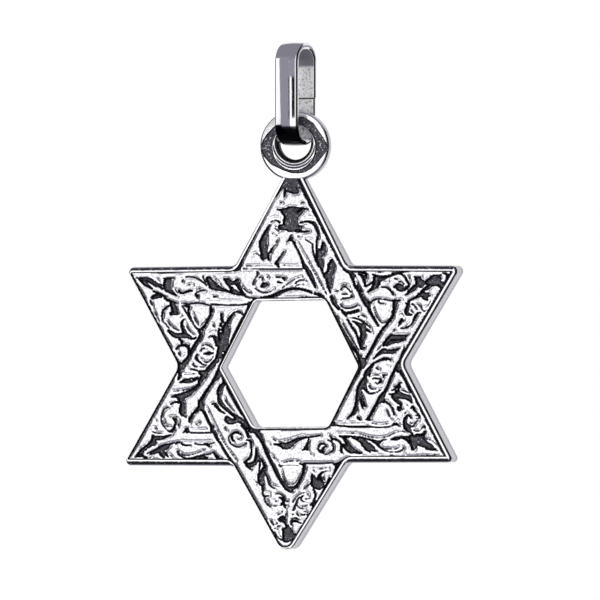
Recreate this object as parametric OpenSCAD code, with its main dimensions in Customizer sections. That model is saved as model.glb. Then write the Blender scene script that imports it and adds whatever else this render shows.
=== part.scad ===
// Star of david pendant: a cast star of two interlaced bands with raised scroll and leaf relief,
// hung from a flat strip bail.
// Millimetres. +Z is up and the relief faces -Y. The origin is the chain's seat, at the bail's inner top.

/* [Star] */
// Side of each of the two big triangles, from virtual tip to virtual tip
star_side = 28; // [22:0.5:40]
// Depth of the star from its plain back to its rim
star_depth = 1.75; // [1.1:0.05:2.2]
// How deep the dark ground lies under the rim and the leaves
ground_depth = 0.34; // [0.15:0.01:0.6]
// Width of the bright rim along the outer and the inner edge
rim_width = 0.29; // [0.15:0.01:0.4]
// Width of the dark line between the rim and the leaves
rim_line = 0.13; // [0.08:0.01:0.2]

/* [Eye] */
// Depth of the flat eye on the top point
eye_depth = 0.9; // [0.7:0.05:1.2]
// Metal between the hole and the top of the eye
eye_wall = 1.16; // [0.8:0.01:1.8]
// Half of what the eye is wider than tall
eye_spread = 0.16; // [0.02:0.01:0.3]
// How far the hole stands above the middle of the eye
hole_rise = 0.25; // [0:0.01:0.4]
// How far the eye stands right of the middle of the star
eye_right = 0.18; // [0:0.01:0.5]
// Bevel round the front and the back of the hole
hole_bevel = 0.25; // [0.1:0.01:0.3]
// Width of the raised lip round the hole
lip_width = 0.45; // [0.3:0.01:0.6]
// Width of the bright outer border of the eye
eye_border = 0.4; // [0.25:0.01:0.6]
// How deep the face of the eye lies under its lip and border
face_depth = 0.12; // [0.05:0.01:0.25]

/* [Bail] */
// Width of the flat strip
bail_width = 2.05; // [1.2:0.05:2.6]
// Thickness of the strip
bail_wall = 0.5; // [0.4:0.01:0.8]
// Thickness of the strip at the top, where the chain wears
bail_crown = 0.62; // [0.4:0.01:0.9]
// Height of the opening, from the chain's seat down to the inner bottom
bail_opening = 7.23; // [5:0.01:11]
// Radius inside the two upper bends
bail_bend = 1.05; // [0.6:0.01:1.1]
// Turn of the bail from the star's own plane, in degrees
bail_turn = 10; // [0:1:14]
// Height of the butt seam in the back leg, over the inner bottom
seam_height = 3.4; // [3:0.05:4.2]
// Gap of the butt seam
seam_gap = 0.06; // [0.03:0.01:0.12]
// How far the back leg steps inwards below the seam
seam_step = 0.1; // [0.05:0.01:0.15]

/* [Fit] */
// Play between the strip and the hole that it passes through
hole_play = 0.26; // [0.2:0.01:0.5]
// Play between the legs of the bail and the eye as it swings
leg_play = 0.3; // [0.25:0.01:0.6]

/* [Hidden] */
$fn = 48;
fine = 0.02;          // half the width of the finest sliver of ground that is kept
stroke_steps = 3;     // segments along one stroke
corner_steps = 5;     // segments round one corner
bend_steps = 14;      // segments round one bend of the bail
unit = star_side / 100;

// The outer edge, clockwise from the neck: [x, y, radius of the corner], in percent of star_side.
EDGE = [
    [2.75, 54.6, 0.2], [17.2, 28.4, 2.2], [51.9, 28.3, 1.6], [34.4, 0.2, 2.6],
    [49.7, -28.0, 1.2], [16.6, -28.2, 2.6], [-1.5, -55.8, 3.0], [-17.4, -29.2, 2.4],
    [-51.4, -29.2, 1.3], [-34.3, -0.6, 3.0], [-50.5, 27.9, 1.4], [-16.9, 28.3, 2.4],
    [-2.1, 54.6, 0.2]];

// Height at which the round eye meets the top arm, in percent of star_side.
NECK = 53.2;

// The window, clockwise from its top left corner, in the same form.
WINDOW = [
    [-11.0, 18.1, 1.6], [10.9, 18.4, 2.4], [20.9, -0.6, 1.6],
    [11.8, -17.9, 2.6], [-11.2, -18.1, 2.0], [-21.2, -0.9, 0.8]];

// Each stroke of the ground is the mark of a round ended tool drawn through three points of growing or
// narrowing width, in percent of star_side:
// [x, y at its start, x, y at its middle, x, y at its end, width at each].
TOP_POINT = [
    [-2.1, 51.4, 0.6, 51.7, 3, 51.4, 2, 2.6, 2], [-1.3, 50.3, 0.8, 49.9, 2.1, 49.6, 1.6, 2, 1.4],
    [-4.1, 44.5, -2.2, 44.3, 0, 44.2, 0.3, 1.2, 2.2], [0, 44.2, 3, 44.7, 5.6, 44.5, 2.2, 1, 0.4],
    [0.1, 43.4, 0.1, 41.8, 0.1, 40.4, 4.2, 4.4, 4.6], [-3, 39.4, 0.2, 39.4, 3.1, 39.2, 1.8, 2.2, 1.6],
    [1.5, 38.4, 3.8, 38.1, 6, 38.3, 1, 0.9, 0.4], [3, 40.6, 5.6, 40.95, 7.6, 40.1, 0.6, 0.75, 1.4],
    [7.6, 40.1, 8.3, 38.5, 8.6, 36.8, 1.4, 1.1, 0.4], [8.4, 36.6, 8.1, 35, 8.1, 33, 0.8, 0.8, 1],
    [9.9, 34.8, 10.1, 33.4, 9.4, 31.9, 1, 1.9, 2.4], [8.6, 32.6, 8.6, 30.8, 9.2, 28.6, 1.6, 2, 2.1],
    [9.2, 28.6, 9.9, 27.2, 10.9, 25.2, 1.7, 1.3, 1.6], [12.5, 29.8, 12.5, 28.2, 12.1, 26.3, 1, 2.6, 2.2],
    [11.9, 26, 11.8, 24.2, 11.8, 22.2, 2.4, 2.2, 1.4], [11.8, 22.2, 12, 21.2, 12.3, 20.4, 1.2, 0.6, 0.4],
    [0.15, 37.1, 0.1, 36.4, 0.1, 35.9, 0.4, 0.9, 1.4], [-0.1, 36, -0.7, 35.4, -1.3, 35.1, 1, 0.6, 0.3],
    [0.2, 36, 0.8, 35.4, 1.3, 34.9, 1, 0.9, 0.8], [1, 35.2, 2.5, 32.4, 3.5, 30.2, 1, 0.7, 0.7],
    [3.5, 30.2, 3.9, 28.9, 4.3, 27.8, 0.8, 1, 1.3], [4.3, 28.4, 5.9, 26, 7.7, 22.2, 1, 1.6, 0.9],
    [-4.4, 28.9, -3.9, 28.6, -3.6, 28, 0.9, 1, 0.8], [-17.6, 26.9, -15.8, 27.5, -14.9, 29.6, 0.3, 1.3, 0.6],
    [-6.2, 40.2, -7.6, 37.6, -8.4, 34.6, 0.3, 1.5, 2.6], [-8.4, 34.8, -8.2, 33, -7.9, 31, 2.8, 2.5, 2],
    [-8.9, 31.2, -8.5, 30.3, -8.3, 29.9, 1, 0.9, 0.5], [-6.8, 31.6, -6.7, 30.6, -6.6, 29.9, 1.2, 1, 0.6]];
TOP_BAND = [
    [-9, 19.2, -6, 19.6, -3.5, 20.3, 0.6, 0.9, 1.4], [-3.5, 20.4, -0.5, 21.5, 2.5, 21.7, 1.3, 1.1, 0.9],
    [-7.2, 22.9, -8, 22.8, -8.7, 22.3, 0.9, 1.8, 1], [7.6, 20.3, 8.8, 20, 10, 19.4, 1, 1.1, 1]];
UPPER_LEFT_ARM = [
    [-25.5, 24.6, -24.9, 23.2, -24.3, 22, 1.2, 2, 1.4],
    [-24.6, 23.5, -23.2, 22.2, -21.2, 21.1, 1.6, 1.8, 0.6],
    [-20.6, 24.5, -19.5, 23.6, -18.6, 22.6, 0.8, 1.6, 1.6],
    [-19.3, 24.2, -17.7, 23.4, -16.2, 23.8, 1.4, 1.3, 1.4],
    [-18.6, 22.4, -17.7, 21.2, -16.5, 20.4, 1.6, 1.8, 1.5],
    [-16.2, 24, -15.7, 22.8, -15.1, 21.2, 1.4, 1.2, 1.4], [-18.6, 20.8, -16.5, 20.2, -14.2, 20, 1, 1.2, 1],
    [-15.2, 21.4, -14.7, 20.6, -13.9, 20, 1.2, 1, 0.7],
    [-29, 20.3, -28.7, 19.7, -28.5, 18.9, 0.7, 1.1, 0.4],
    [-12.7, 17.3, -13.1, 16, -13.9, 14.4, 1.3, 0.6, 0.5], [-25, 13.2, -26, 11.4, -27.4, 9.8, 0.7, 0.8, 1.2],
    [-27.6, 9.6, -27.4, 8.4, -28.2, 6.8, 1.6, 1.3, 1.3], [-21.2, 14.4, -21, 13.2, -20.7, 12.2, 0.8, 1, 1],
    [-19.9, 12, -19.8, 10.2, -20.2, 8.4, 0.8, 2.4, 3.2], [-25, 7.7, -23.9, 8.1, -22.8, 7.6, 0.4, 0.8, 1],
    [-23.2, 7.6, -22.6, 6.8, -22.4, 5.6, 1.2, 1.6, 1.4]];
UPPER_LEFT_POINT = [
    [-47.4, 24.9, -46.2, 24.7, -44.8, 24.3, 0.3, 0.8, 1.4],
    [-46.2, 24.4, -44.6, 23.2, -42.4, 21.6, 0.9, 1.5, 0.5],
    [-45.2, 24.6, -43.2, 24.1, -41.2, 22.8, 1, 1.6, 1.4],
    [-41.2, 22.9, -40, 22.6, -39.2, 22, 1.2, 1.3, 1.4],
    [-37.6, 23.7, -37.7, 22.7, -37.5, 21.7, 2.7, 2.8, 2.4],
    [-37, 21.2, -35.8, 20.3, -34.6, 19.6, 1.6, 1, 0.4], [-42.2, 19.2, -41, 19.6, -39.6, 19.4, 1.3, 1.6, 1],
    [-38.6, 19, -37.2, 18.3, -34.6, 17.5, 0.7, 1, 0.4],
    [-36.3, 17.6, -35.9, 16.6, -35.6, 15.6, 1.6, 1.8, 2],
    [-36.6, 14.5, -35.4, 14.7, -34.4, 14.4, 1.2, 1.5, 0.6],
    [-32.5, 12.9, -33.3, 11.8, -33, 10.6, 0.5, 0.9, 1.2],
    [-33, 10.8, -32.8, 9.9, -32.4, 9.2, 1.2, 1.3, 1.4], [-37.3, 9.6, -36, 8.6, -34.4, 8.1, 1, 1.5, 1.6],
    [-34.4, 8.1, -32.6, 8.3, -31, 7.8, 1.6, 1.8, 1.2], [-31, 7.8, -29.8, 7.3, -28.9, 7.7, 1, 0.8, 0.6]];
LEFT_BAND = [
    [-34.9, 4.3, -33.6, 5.4, -31.5, 5.2, 0.7, 0.8, 1.1], [-31.4, 5.2, -31, 3.4, -31.6, 1.6, 1.2, 0.9, 0.9],
    [-31.6, 1.8, -32.9, 0.2, -34, -0.6, 0.9, 1.3, 1.2], [-33.9, 0.3, -33.7, -2.2, -34.4, -4.4, 1, 1.6, 0.7],
    [-28.2, 6.8, -29.5, 5, -30.6, 3, 1.3, 1.3, 1.1], [-30.6, 3, -31.6, 1.2, -33.4, -1.2, 1.1, 1.2, 1.5],
    [-26.5, 2.9, -25, 3.1, -23.8, 3.2, 0.5, 1.2, 0.6], [-20.2, 8.4, -20.5, 6, -21.2, 3.6, 3.2, 3.6, 2.8],
    [-21.2, 3.6, -21.9, 2.2, -22.6, 1, 2.8, 2, 1.6], [-22.6, 1.2, -23.9, -0.2, -25.2, -1.6, 1.5, 1.7, 1.6],
    [-27.6, -2.4, -26.8, -2.6, -25.8, -2, 1.4, 1.8, 1.2],
    [-26.2, -2.6, -26.9, -3.9, -27.9, -5, 2, 1.8, 1.2],
    [-27.4, -5.2, -28.9, -6.7, -30.6, -8.2, 0.9, 1.1, 1.5],
    [-30.4, -7.9, -32.5, -8.9, -35, -9.2, 1.7, 2, 1.3],
    [-35, -9.2, -35.8, -9.3, -36.4, -9.5, 1.2, 0.8, 0.4],
    [-33.9, -5.3, -32.4, -4.9, -30.6, -4.7, 0.4, 1.4, 1.5],
    [-30.6, -4.7, -29.4, -4.4, -28.4, -4, 1.5, 1.2, 1], [-21.7, -1, -21.9, -2.6, -22.9, -4.2, 1, 2.1, 1.6],
    [-22.9, -4.2, -24.2, -5.7, -25.6, -7.7, 1.5, 0.9, 1],
    [-25.6, -7.7, -26.8, -9.4, -27.9, -11.6, 1, 1.1, 1.2],
    [-20.9, -3.4, -20.4, -4.8, -20.6, -6, 0.8, 0.9, 1.2],
    [-20.6, -6, -21.7, -7.2, -21.8, -9.2, 1.5, 1.5, 1.3],
    [-21.8, -9.2, -21.6, -10.8, -20.4, -12.2, 1.3, 1.4, 1.3],
    [-20.4, -12.2, -19.6, -12.9, -18.8, -13.5, 1.3, 1.3, 1.2],
    [-18.8, -13.5, -17.6, -14.5, -16.4, -15.2, 1.1, 1.1, 1.2],
    [-22.9, -11.8, -21.6, -13.2, -20.1, -14.1, 1.2, 1, 0.5]];
LOWER_LEFT_POINT = [
    [-33.6, -9.6, -33.3, -10.8, -33.1, -11.9, 2.6, 1.4, 1.6],
    [-33.1, -11.9, -33.3, -13.4, -33, -14.4, 1.6, 2, 1.4],
    [-36.7, -11.6, -35.4, -11, -34.2, -11, 0.5, 0.7, 1],
    [-36.3, -19.3, -35.6, -18.4, -35.4, -17.4, 1.2, 1, 0.6],
    [-36, -15.6, -35.2, -16.2, -35.2, -17.4, 0.6, 1.3, 0.6],
    [-42.1, -20.7, -42, -21.6, -42.2, -22.8, 1, 1.6, 1.8],
    [-41.9, -21.2, -40, -21.3, -38.2, -20.9, 1.4, 1.4, 0.9],
    [-42, -22.4, -44, -23.8, -45.6, -25, 1.9, 1.3, 1.3],
    [-45.6, -25, -46.8, -26.2, -47.9, -27.1, 1.6, 1, 0.3],
    [-45.6, -25.6, -45.2, -26.6, -44, -27, 1.2, 0.8, 0.6],
    [-43.7, -26, -42, -25.4, -40, -24.6, 1, 1.4, 1.8], [-40, -24.4, -38.5, -23.9, -37, -23.2, 1.8, 2, 1],
    [-39.6, -25, -39.2, -26, -38.8, -26.8, 2.2, 1.8, 0.8],
    [-38.4, -25.6, -37.8, -26.4, -37.2, -26.9, 1, 0.7, 0.2],
    [-31, -27.2, -28.6, -26.9, -26.4, -26.2, 0.7, 1.3, 0.9],
    [-28.5, -26.9, -27, -26.8, -25.8, -26.9, 1.3, 1.2, 0.7]];
LOWER_LEFT_ARM = [
    [-26.2, -23, -25.4, -23.1, -24.9, -23.5, 0.7, 1.1, 1],
    [-23.6, -25.3, -22.9, -26.2, -22.2, -27, 0.5, 0.8, 1.3],
    [-27.8, -10.8, -27.4, -12.2, -26.9, -13.2, 1.3, 2.2, 1.1],
    [-27.6, -12.4, -28.8, -13.4, -30, -14.4, 1.6, 1.2, 0.8],
    [-30.8, -15.6, -30.9, -16.3, -30.7, -16.9, 1, 0.9, 0.4],
    [-26.9, -13, -25.8, -15, -24.9, -16.9, 1, 1, 0.9], [-24.9, -16.9, -24, -18, -23.9, -19, 0.9, 1.3, 1.5],
    [-23.9, -18.8, -23, -20, -22.3, -21.6, 1.3, 1.2, 1.2],
    [-22.5, -21.2, -22, -22, -21.6, -22.5, 1.2, 0.9, 0.8],
    [-32.8, -19.7, -31.7, -19.2, -30.9, -19.6, 0.5, 1, 0.5],
    [-31.7, -18.5, -31.8, -19, -31.6, -19.5, 0.5, 1.4, 1],
    [-17.8, -20.1, -16.4, -19.6, -14.9, -20.4, 0.7, 1, 0.4],
    [-14.7, -17.6, -13.4, -19.2, -12.8, -20.9, 1.1, 1, 1],
    [-19.4, -15.6, -17.6, -16.3, -15.6, -16, 1.6, 1.3, 1.5],
    [-16.6, -15.6, -15.2, -16.2, -13.8, -17.4, 1.6, 1.9, 1.6],
    [-13.8, -17.4, -12.9, -18.6, -12, -19.4, 1.3, 1, 1.1],
    [-12.4, -18.6, -10.8, -19.4, -9.4, -19.2, 1, 1.3, 0.7],
    [-10.6, -19.4, -9.7, -20.4, -9.1, -21.4, 1.3, 1.7, 1.2]];
LOWER_BAND = [
    [-9.2, -21.2, -8.3, -23, -7.4, -25, 1.3, 1, 1.2], [-7.4, -25, -6.2, -27.4, -4.9, -29.8, 1.2, 1.1, 1.2],
    [-4.9, -29.8, -3.6, -32.2, -2.2, -34.4, 1.2, 1.2, 1.2],
    [-2.2, -34.2, -1, -35.6, 0.3, -36.4, 1.3, 1.6, 1.2], [-1.8, -35, 0, -35.7, 1.8, -35, 0.9, 1.5, 1],
    [1.8, -35.2, 3, -33.2, 3.8, -31.4, 1, 0.9, 0.8], [3.8, -31.4, 4.2, -30, 4.4, -28.8, 0.9, 1.3, 1.3],
    [-14.1, -28.3, -13, -29.1, -12.2, -30.2, 0.5, 1.4, 0.6],
    [-13.2, -28.6, -12, -28.9, -10.9, -28.2, 0.8, 1.6, 1.2],
    [-10.9, -28.4, -10.4, -27.2, -10.4, -25.6, 1.4, 1.4, 1],
    [-10.2, -26.6, -9.6, -27.6, -9.2, -28, 1.6, 1.2, 0.6], [-9, -27.2, -8, -28.8, -7.9, -30.6, 0.6, 1, 0.9],
    [-8.2, -30, -8.7, -32, -8.8, -34, 1.2, 2, 2.2], [-9.4, -31.8, -9.3, -33, -8.9, -34.2, 1.4, 1.8, 1.2],
    [-5, -23, -3.4, -23.1, -2, -23.3, 0.5, 1.1, 2], [-2, -23.5, -0.4, -23.2, 1, -22.3, 2, 2.2, 1.5],
    [1, -22.2, 3.4, -21.3, 6, -20.9, 1.5, 0.9, 0.6], [3.6, -24.7, 4.6, -23.9, 5.3, -22.4, 0.4, 1, 0.5],
    [4.2, -24.5, 5, -24.3, 5.4, -24.7, 0.6, 1, 0.4]];
BOTTOM_POINT = [
    [-3.6, -38.4, -2.4, -38.6, -2, -39.8, 0.4, 1.1, 1], [-2, -39.8, -1.8, -40.6, -1.6, -41.2, 1, 0.7, 0.5],
    [-3.7, -44.5, -2.6, -44, -1.8, -43.9, 0.5, 1.1, 0.8],
    [-2.8, -44.6, -1.9, -44.9, -1.4, -45.4, 1, 1.5, 0.8], [-0.6, -46.6, -1, -48, -0.9, -49.6, 1, 3, 3.2],
    [-2.2, -47.4, -1.6, -48.6, -1.6, -50.2, 1, 2, 2], [-0.6, -49, 0.8, -49.4, 2.2, -48.9, 2.4, 2, 0.8],
    [-2, -50.6, -1, -50.5, 0.4, -50, 0.9, 1.5, 1], [-0.2, -47.6, 0.3, -48.6, 0.8, -49.3, 1, 1.6, 1.6],
    [-1.8, -45.4, -1.2, -46.2, -0.6, -46.8, 0.6, 0.9, 1.2], [0.6, -45.2, 1.4, -45, 2.4, -45.2, 0.8, 1, 0.7],
    [7.2, -40.2, 7, -41.2, 6.5, -42.2, 1.4, 1, 0.7], [6.5, -42.2, 5.6, -44, 4.6, -45.6, 0.7, 0.6, 1],
    [4.4, -45.2, 3.9, -46.6, 3.2, -47.8, 1, 0.8, 0.5], [6.7, -31.8, 7.1, -33, 7.6, -34.2, 0.9, 1.8, 3],
    [7, -33, 8.4, -34.4, 9.6, -34.6, 1.6, 3.2, 1.8], [8.4, -35, 8.7, -35.4, 9.4, -35.2, 1.6, 1.6, 1],
    [8.6, -32.6, 9.2, -31.4, 10.2, -30.9, 1, 0.9, 0.5], [9, -32.2, 9.4, -33, 9.8, -33.8, 1, 1, 0.9],
    [13.2, -28.6, 14.2, -28.6, 15.2, -28.1, 0.5, 1, 0.7],
    [14.2, -28.8, 13.9, -29.8, 13.7, -30.6, 1.2, 0.9, 0.8]];
LOWER_RIGHT_BAND = [
    [8.6, -24.4, 9.2, -25, 10, -25.1, 0.6, 1, 0.8], [15.4, -23.6, 15.6, -24.6, 15.8, -25.2, 0.8, 1, 0.8],
    [16, -20.9, 16.9, -21.8, 17.3, -22.8, 0.7, 1.2, 1.2], [16, -23, 17.4, -24, 18.6, -25, 0.8, 2, 1.4],
    [17.6, -23, 19, -24.6, 21.4, -25.4, 1.2, 1.6, 0.8],
    [17.4, -22.4, 17.8, -23.4, 18.6, -24.2, 1, 1.4, 1.2], [19, -21, 20.6, -21.6, 21.8, -22.6, 0.7, 0.9, 1],
    [21, -21.2, 22.6, -22.4, 24, -24, 1.4, 1.8, 2.2], [22, -22.4, 23.4, -24, 24.3, -25, 1.6, 1.8, 0.7],
    [24, -23.4, 25, -24.2, 26.2, -24.8, 2, 1.6, 0.6], [21, -20.8, 23.6, -21.4, 26, -22, 0.7, 0.7, 1],
    [25, -21.9, 26.6, -22.4, 28, -21.8, 0.8, 1.3, 0.6]];
LOWER_RIGHT_POINT = [
    [30.6, -21.5, 32, -21.3, 33.6, -21, 0.4, 1.3, 0.8], [34.2, -21, 35.6, -21.6, 36.4, -22.6, 0.8, 1, 0.8],
    [36.8, -21, 37.6, -22.6, 37.4, -24, 2, 2.6, 1.6], [37, -21.2, 39, -21.6, 41, -22.4, 1.8, 2.8, 1.8],
    [38.4, -20.4, 39.8, -20.8, 40.8, -19.9, 1.2, 1.4, 0.7],
    [40.6, -22.8, 42.2, -23.4, 44.4, -24.4, 1.8, 2, 0.6],
    [38.6, -22.4, 39.6, -22.9, 41, -23.2, 1.6, 1.2, 1.4],
    [37.4, -20, 37.3, -20.6, 36.8, -21.2, 0.6, 1, 1.2], [35, -17.6, 35, -16.2, 35.4, -15, 1.4, 1.6, 1],
    [35.2, -17.2, 35.8, -18.4, 36.6, -19.2, 1.4, 1.9, 1],
    [36.8, -12.6, 37.3, -12.2, 38, -13.2, 0.5, 1, 0.8], [29.9, -8.5, 31, -8.6, 32, -8.9, 0.4, 0.7, 1.4],
    [31.4, -8.8, 33, -8.8, 34.6, -9.2, 1.4, 2.2, 1.7], [34.6, -9.2, 36, -9.6, 37, -10.9, 1.7, 1.7, 0.7],
    [31.4, -9.2, 32.2, -10, 33, -11, 1.4, 1.6, 1], [32.8, -10.4, 33.6, -11.4, 33.8, -12.6, 1.2, 0.8, 0.8],
    [33, -12.4, 33.2, -12.8, 33.1, -13.2, 1.2, 1.4, 0.6], [32.2, -7.6, 32.8, -8, 33.6, -8.4, 0.9, 1.2, 1.2],
    [33.2, -5.8, 33.1, -6.6, 33, -7.6, 0.9, 1, 0.8], [31, -17.6, 31.9, -17.1, 32.8, -17.3, 0.5, 1.1, 0.8],
    [46.4, -23.9, 46.9, -25, 48.2, -25.4, 0.4, 1, 0.3]];
LOWER_RIGHT_ARM = [
    [29.6, -6.6, 28.7, -8, 27.6, -9.6, 1, 1.2, 1.8], [28, -9.4, 28.8, -10.4, 29.6, -11.2, 1.4, 0.8, 0.5],
    [27.6, -10, 26.2, -11.6, 25.2, -13.2, 2, 1, 1], [25.2, -13.2, 24.4, -14.6, 23.6, -15.6, 1, 1, 1.1],
    [27.6, -9.6, 27.9, -10.4, 28.6, -10.9, 1.8, 1, 0.6],
    [12.2, -17.4, 13, -17.2, 13.6, -16.6, 0.8, 1.2, 0.6],
    [12.8, -16.8, 13.4, -15, 14.2, -13.6, 1, 0.9, 0.8], [21, -6.8, 20.8, -8.6, 20.4, -10.4, 1.8, 1.9, 1.3],
    [20.4, -10.4, 20.1, -12, 19.9, -13, 1.3, 1.3, 1.6], [19.8, -12.8, 19.2, -14, 18, -15, 1.4, 1.3, 0.7],
    [21.4, -8.2, 21.8, -10, 22.8, -12, 1.4, 1.4, 0.6], [21.6, -10.6, 22, -11.8, 22.2, -12.6, 1, 0.9, 0.5],
    [20.6, -15.1, 20.9, -15.5, 21.2, -15.9, 0.7, 1, 0.7]];
RIGHT_BAND = [
    [14, 13.6, 16.6, 8.6, 19.6, 4.4, 1, 1.3, 1.1], [19.6, 4.4, 20.6, 3, 21.4, 1.6, 1.1, 1.1, 1.6],
    [21.6, 1.2, 22, 0.4, 22, -0.8, 1.8, 2.4, 1.2], [22, 1.4, 22.9, 1.4, 23.4, 2.2, 1.2, 1, 0.5],
    [21.6, -0.4, 21.4, -1.2, 20.8, -2.4, 1.2, 1, 0.8], [17.4, 12.9, 19, 10.6, 20.2, 8.6, 0.6, 1, 0.6],
    [20.2, 8.6, 21, 6.6, 21.7, 4.6, 0.6, 1, 1], [21.6, 5, 22, 4.6, 22.7, 4.9, 1, 1.2, 0.5],
    [19, 12.4, 20.6, 11.6, 22, 10.4, 0.5, 1.2, 2], [22, 10.8, 22.2, 9, 21.8, 7.4, 2.2, 2, 1.6],
    [22, 10.6, 23.6, 9.8, 25, 8.9, 1.4, 0.9, 0.3], [21.8, 7.4, 21.7, 6, 21.8, 4.6, 1.4, 1, 1.2],
    [28.4, 5.4, 29.6, 6.9, 31, 8, 0.8, 1.6, 1.6], [30.6, 7.6, 32.6, 7.8, 34.6, 7.9, 1.6, 1.8, 1.6],
    [34.6, 7.9, 35.4, 8.2, 36.2, 8.6, 1.2, 0.8, 0.3], [28.6, 5.6, 29.6, 5.8, 30.6, 6.4, 0.9, 1.2, 1.4],
    [25.4, 1.6, 27.2, 3.2, 28.6, 3.9, 0.5, 1.2, 1.7], [28.6, 3.9, 30.2, 3.6, 31.6, 3.8, 1.7, 1.4, 1.4],
    [31.6, 3.9, 32.6, 4.3, 33.6, 4.7, 1.4, 0.9, 0.3], [28, 1.4, 29.2, 1.6, 30.4, 1.4, 0.9, 1.2, 0.6],
    [22.8, -3.6, 23.6, -1.8, 25.2, 0.1, 1.4, 1.4, 0.8], [23.4, -2.4, 24, -2.8, 24.2, -3.4, 1.6, 1, 0.6],
    [22.4, -4.4, 21.6, -5.8, 20.9, -7.4, 1.4, 1.8, 1.8], [22.6, -4, 22.8, -5.4, 22.6, -6.4, 1.2, 1.3, 1.4],
    [22.2, -6.2, 23, -7.2, 23.8, -8.2, 1.6, 1.1, 0.6], [27.9, -4.4, 27.4, -5, 26.8, -5.4, 0.6, 1, 0.5],
    [33.6, 1.6, 32.8, -0.2, 31.6, -2, 0.7, 1.5, 1], [29.8, -6, 28.8, -7.8, 27.6, -9.4, 0.9, 1, 1.4],
    [33.2, 0.4, 33, -1, 32.8, -2, 1.2, 1.9, 1], [33.2, -1.6, 33.6, -2.4, 34.4, -3.6, 1, 0.8, 0.6],
    [38.6, 11.6, 36.8, 8.4, 35.4, 6, 0.9, 1, 0.8], [28.6, 10.6, 27.4, 9, 26, 6.6, 0.8, 1, 1],
    [26, 6.6, 24.8, 4.4, 23.4, 2.2, 1, 1, 1]];
UPPER_RIGHT_ARM = [
    [17, 14.6, 19, 15, 20.6, 15.4, 1, 1.1, 1.1], [20.6, 15.4, 20.9, 15.6, 21.2, 15.6, 1, 0.6, 0.3],
    [15.6, 15.6, 16.4, 14.8, 17.2, 13.8, 0.8, 1.1, 0.7], [12.6, 19.4, 13.4, 17.6, 14.8, 16, 1.2, 1.4, 1.1],
    [16.4, 27.2, 18, 26.4, 19.4, 25.4, 0.8, 1.2, 1.4], [18.6, 25.6, 19.2, 24.2, 19.6, 22.8, 1.3, 0.9, 0.9],
    [19.6, 22.8, 20.4, 21.6, 21.6, 20.6, 0.9, 1, 1.2], [21.2, 20.8, 22.2, 18.8, 23.4, 17, 1.2, 1.4, 1.5],
    [22.4, 19, 23.2, 18.2, 24.4, 17.7, 0.9, 1.2, 0.7], [23.8, 17, 24.3, 15.2, 25.2, 13.8, 1.3, 1.1, 1],
    [25.2, 13.8, 26, 12.4, 26.9, 11, 1, 0.9, 0.7], [20.8, 25.9, 22, 25.3, 22.6, 24, 0.6, 1.1, 1.1],
    [22, 26.2, 23, 26, 23.3, 24.8, 0.7, 1, 0.8], [22.6, 25, 22.8, 23.4, 22.9, 22.4, 1.3, 1, 0.8],
    [24.8, 23.4, 25.8, 24, 26.4, 25, 0.6, 1.4, 1.6], [25.8, 24.6, 27.4, 24.4, 29.2, 24.9, 1.5, 1.6, 1],
    [29, 25, 30.4, 25.4, 32, 25.9, 1, 0.8, 0.7], [26.2, 24.2, 25.8, 22.8, 25, 21.8, 1.5, 1.8, 1.2],
    [25.6, 22.2, 24.6, 21.4, 23.8, 20.8, 1.6, 1, 0.8], [26, 23, 26.6, 22.6, 27.2, 23.6, 1, 1, 0.8],
    [32, 18, 31.7, 16, 31.3, 14, 1.6, 1.2, 1], [31.3, 14, 30.4, 12.6, 29, 11, 1, 1, 1],
    [29, 11, 27.8, 9.6, 26.6, 7.6, 1, 0.9, 1]];
UPPER_RIGHT_POINT = [
    [31.8, 22.2, 33, 22.4, 34, 22.2, 0.9, 2, 1.4], [33, 21.8, 34.6, 21.4, 36, 22.2, 1.6, 1, 0.8],
    [37.8, 25.2, 38.8, 24.6, 39.8, 25.2, 0.5, 1.4, 0.5], [38.4, 24.6, 39.2, 23.6, 39.8, 22.8, 1.2, 2.2, 2],
    [38.8, 23, 37.6, 21.8, 36.2, 20.9, 1.4, 1.6, 1.2], [36.4, 20.9, 35.8, 20.3, 35, 19.9, 1, 0.8, 0.4],
    [39.8, 23.6, 41, 23.3, 42, 23.6, 2, 1, 1.6], [42, 23.6, 43.4, 23.8, 45, 24, 2, 3, 2.6],
    [43, 25, 44.6, 25.3, 46, 25.6, 1.2, 1.2, 0.6], [45, 23.2, 46.4, 23.2, 47.4, 23.6, 1.4, 1, 0.6],
    [45.6, 22.8, 46.2, 22.2, 46.6, 21.6, 1.8, 1.2, 0.6], [47.8, 25.4, 47.8, 24.4, 47.2, 23.2, 0.8, 1.2, 1],
    [36, 18.2, 38, 19.1, 40, 20.2, 0.6, 0.9, 1.4], [38.6, 19.6, 40, 20, 41.6, 19.8, 0.9, 1.6, 1.8],
    [40.6, 19.4, 41.2, 18.9, 41.9, 18.4, 1.4, 1.2, 0.5], [36.2, 18.1, 36, 17, 35.6, 15.8, 1, 1.2, 1.4],
    [35.4, 15.8, 35.6, 14.6, 37, 14.2, 1.2, 1.4, 0.7], [37.6, 12.6, 38.2, 13.8, 38.8, 14.6, 0.8, 1, 0.9],
    [33, 10.9, 33.5, 12, 34, 13.1, 0.4, 1.1, 0.6], [33.7, 12.2, 34, 12.5, 34.5, 12.6, 1, 1.1, 0.4]];
GROUND = concat(TOP_POINT, TOP_BAND, UPPER_LEFT_ARM, UPPER_LEFT_POINT, LEFT_BAND, LOWER_LEFT_POINT,
    LOWER_LEFT_ARM, LOWER_BAND, BOTTOM_POINT, LOWER_RIGHT_BAND, LOWER_RIGHT_POINT,
    LOWER_RIGHT_ARM, RIGHT_BAND, UPPER_RIGHT_ARM, UPPER_RIGHT_POINT);

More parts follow.
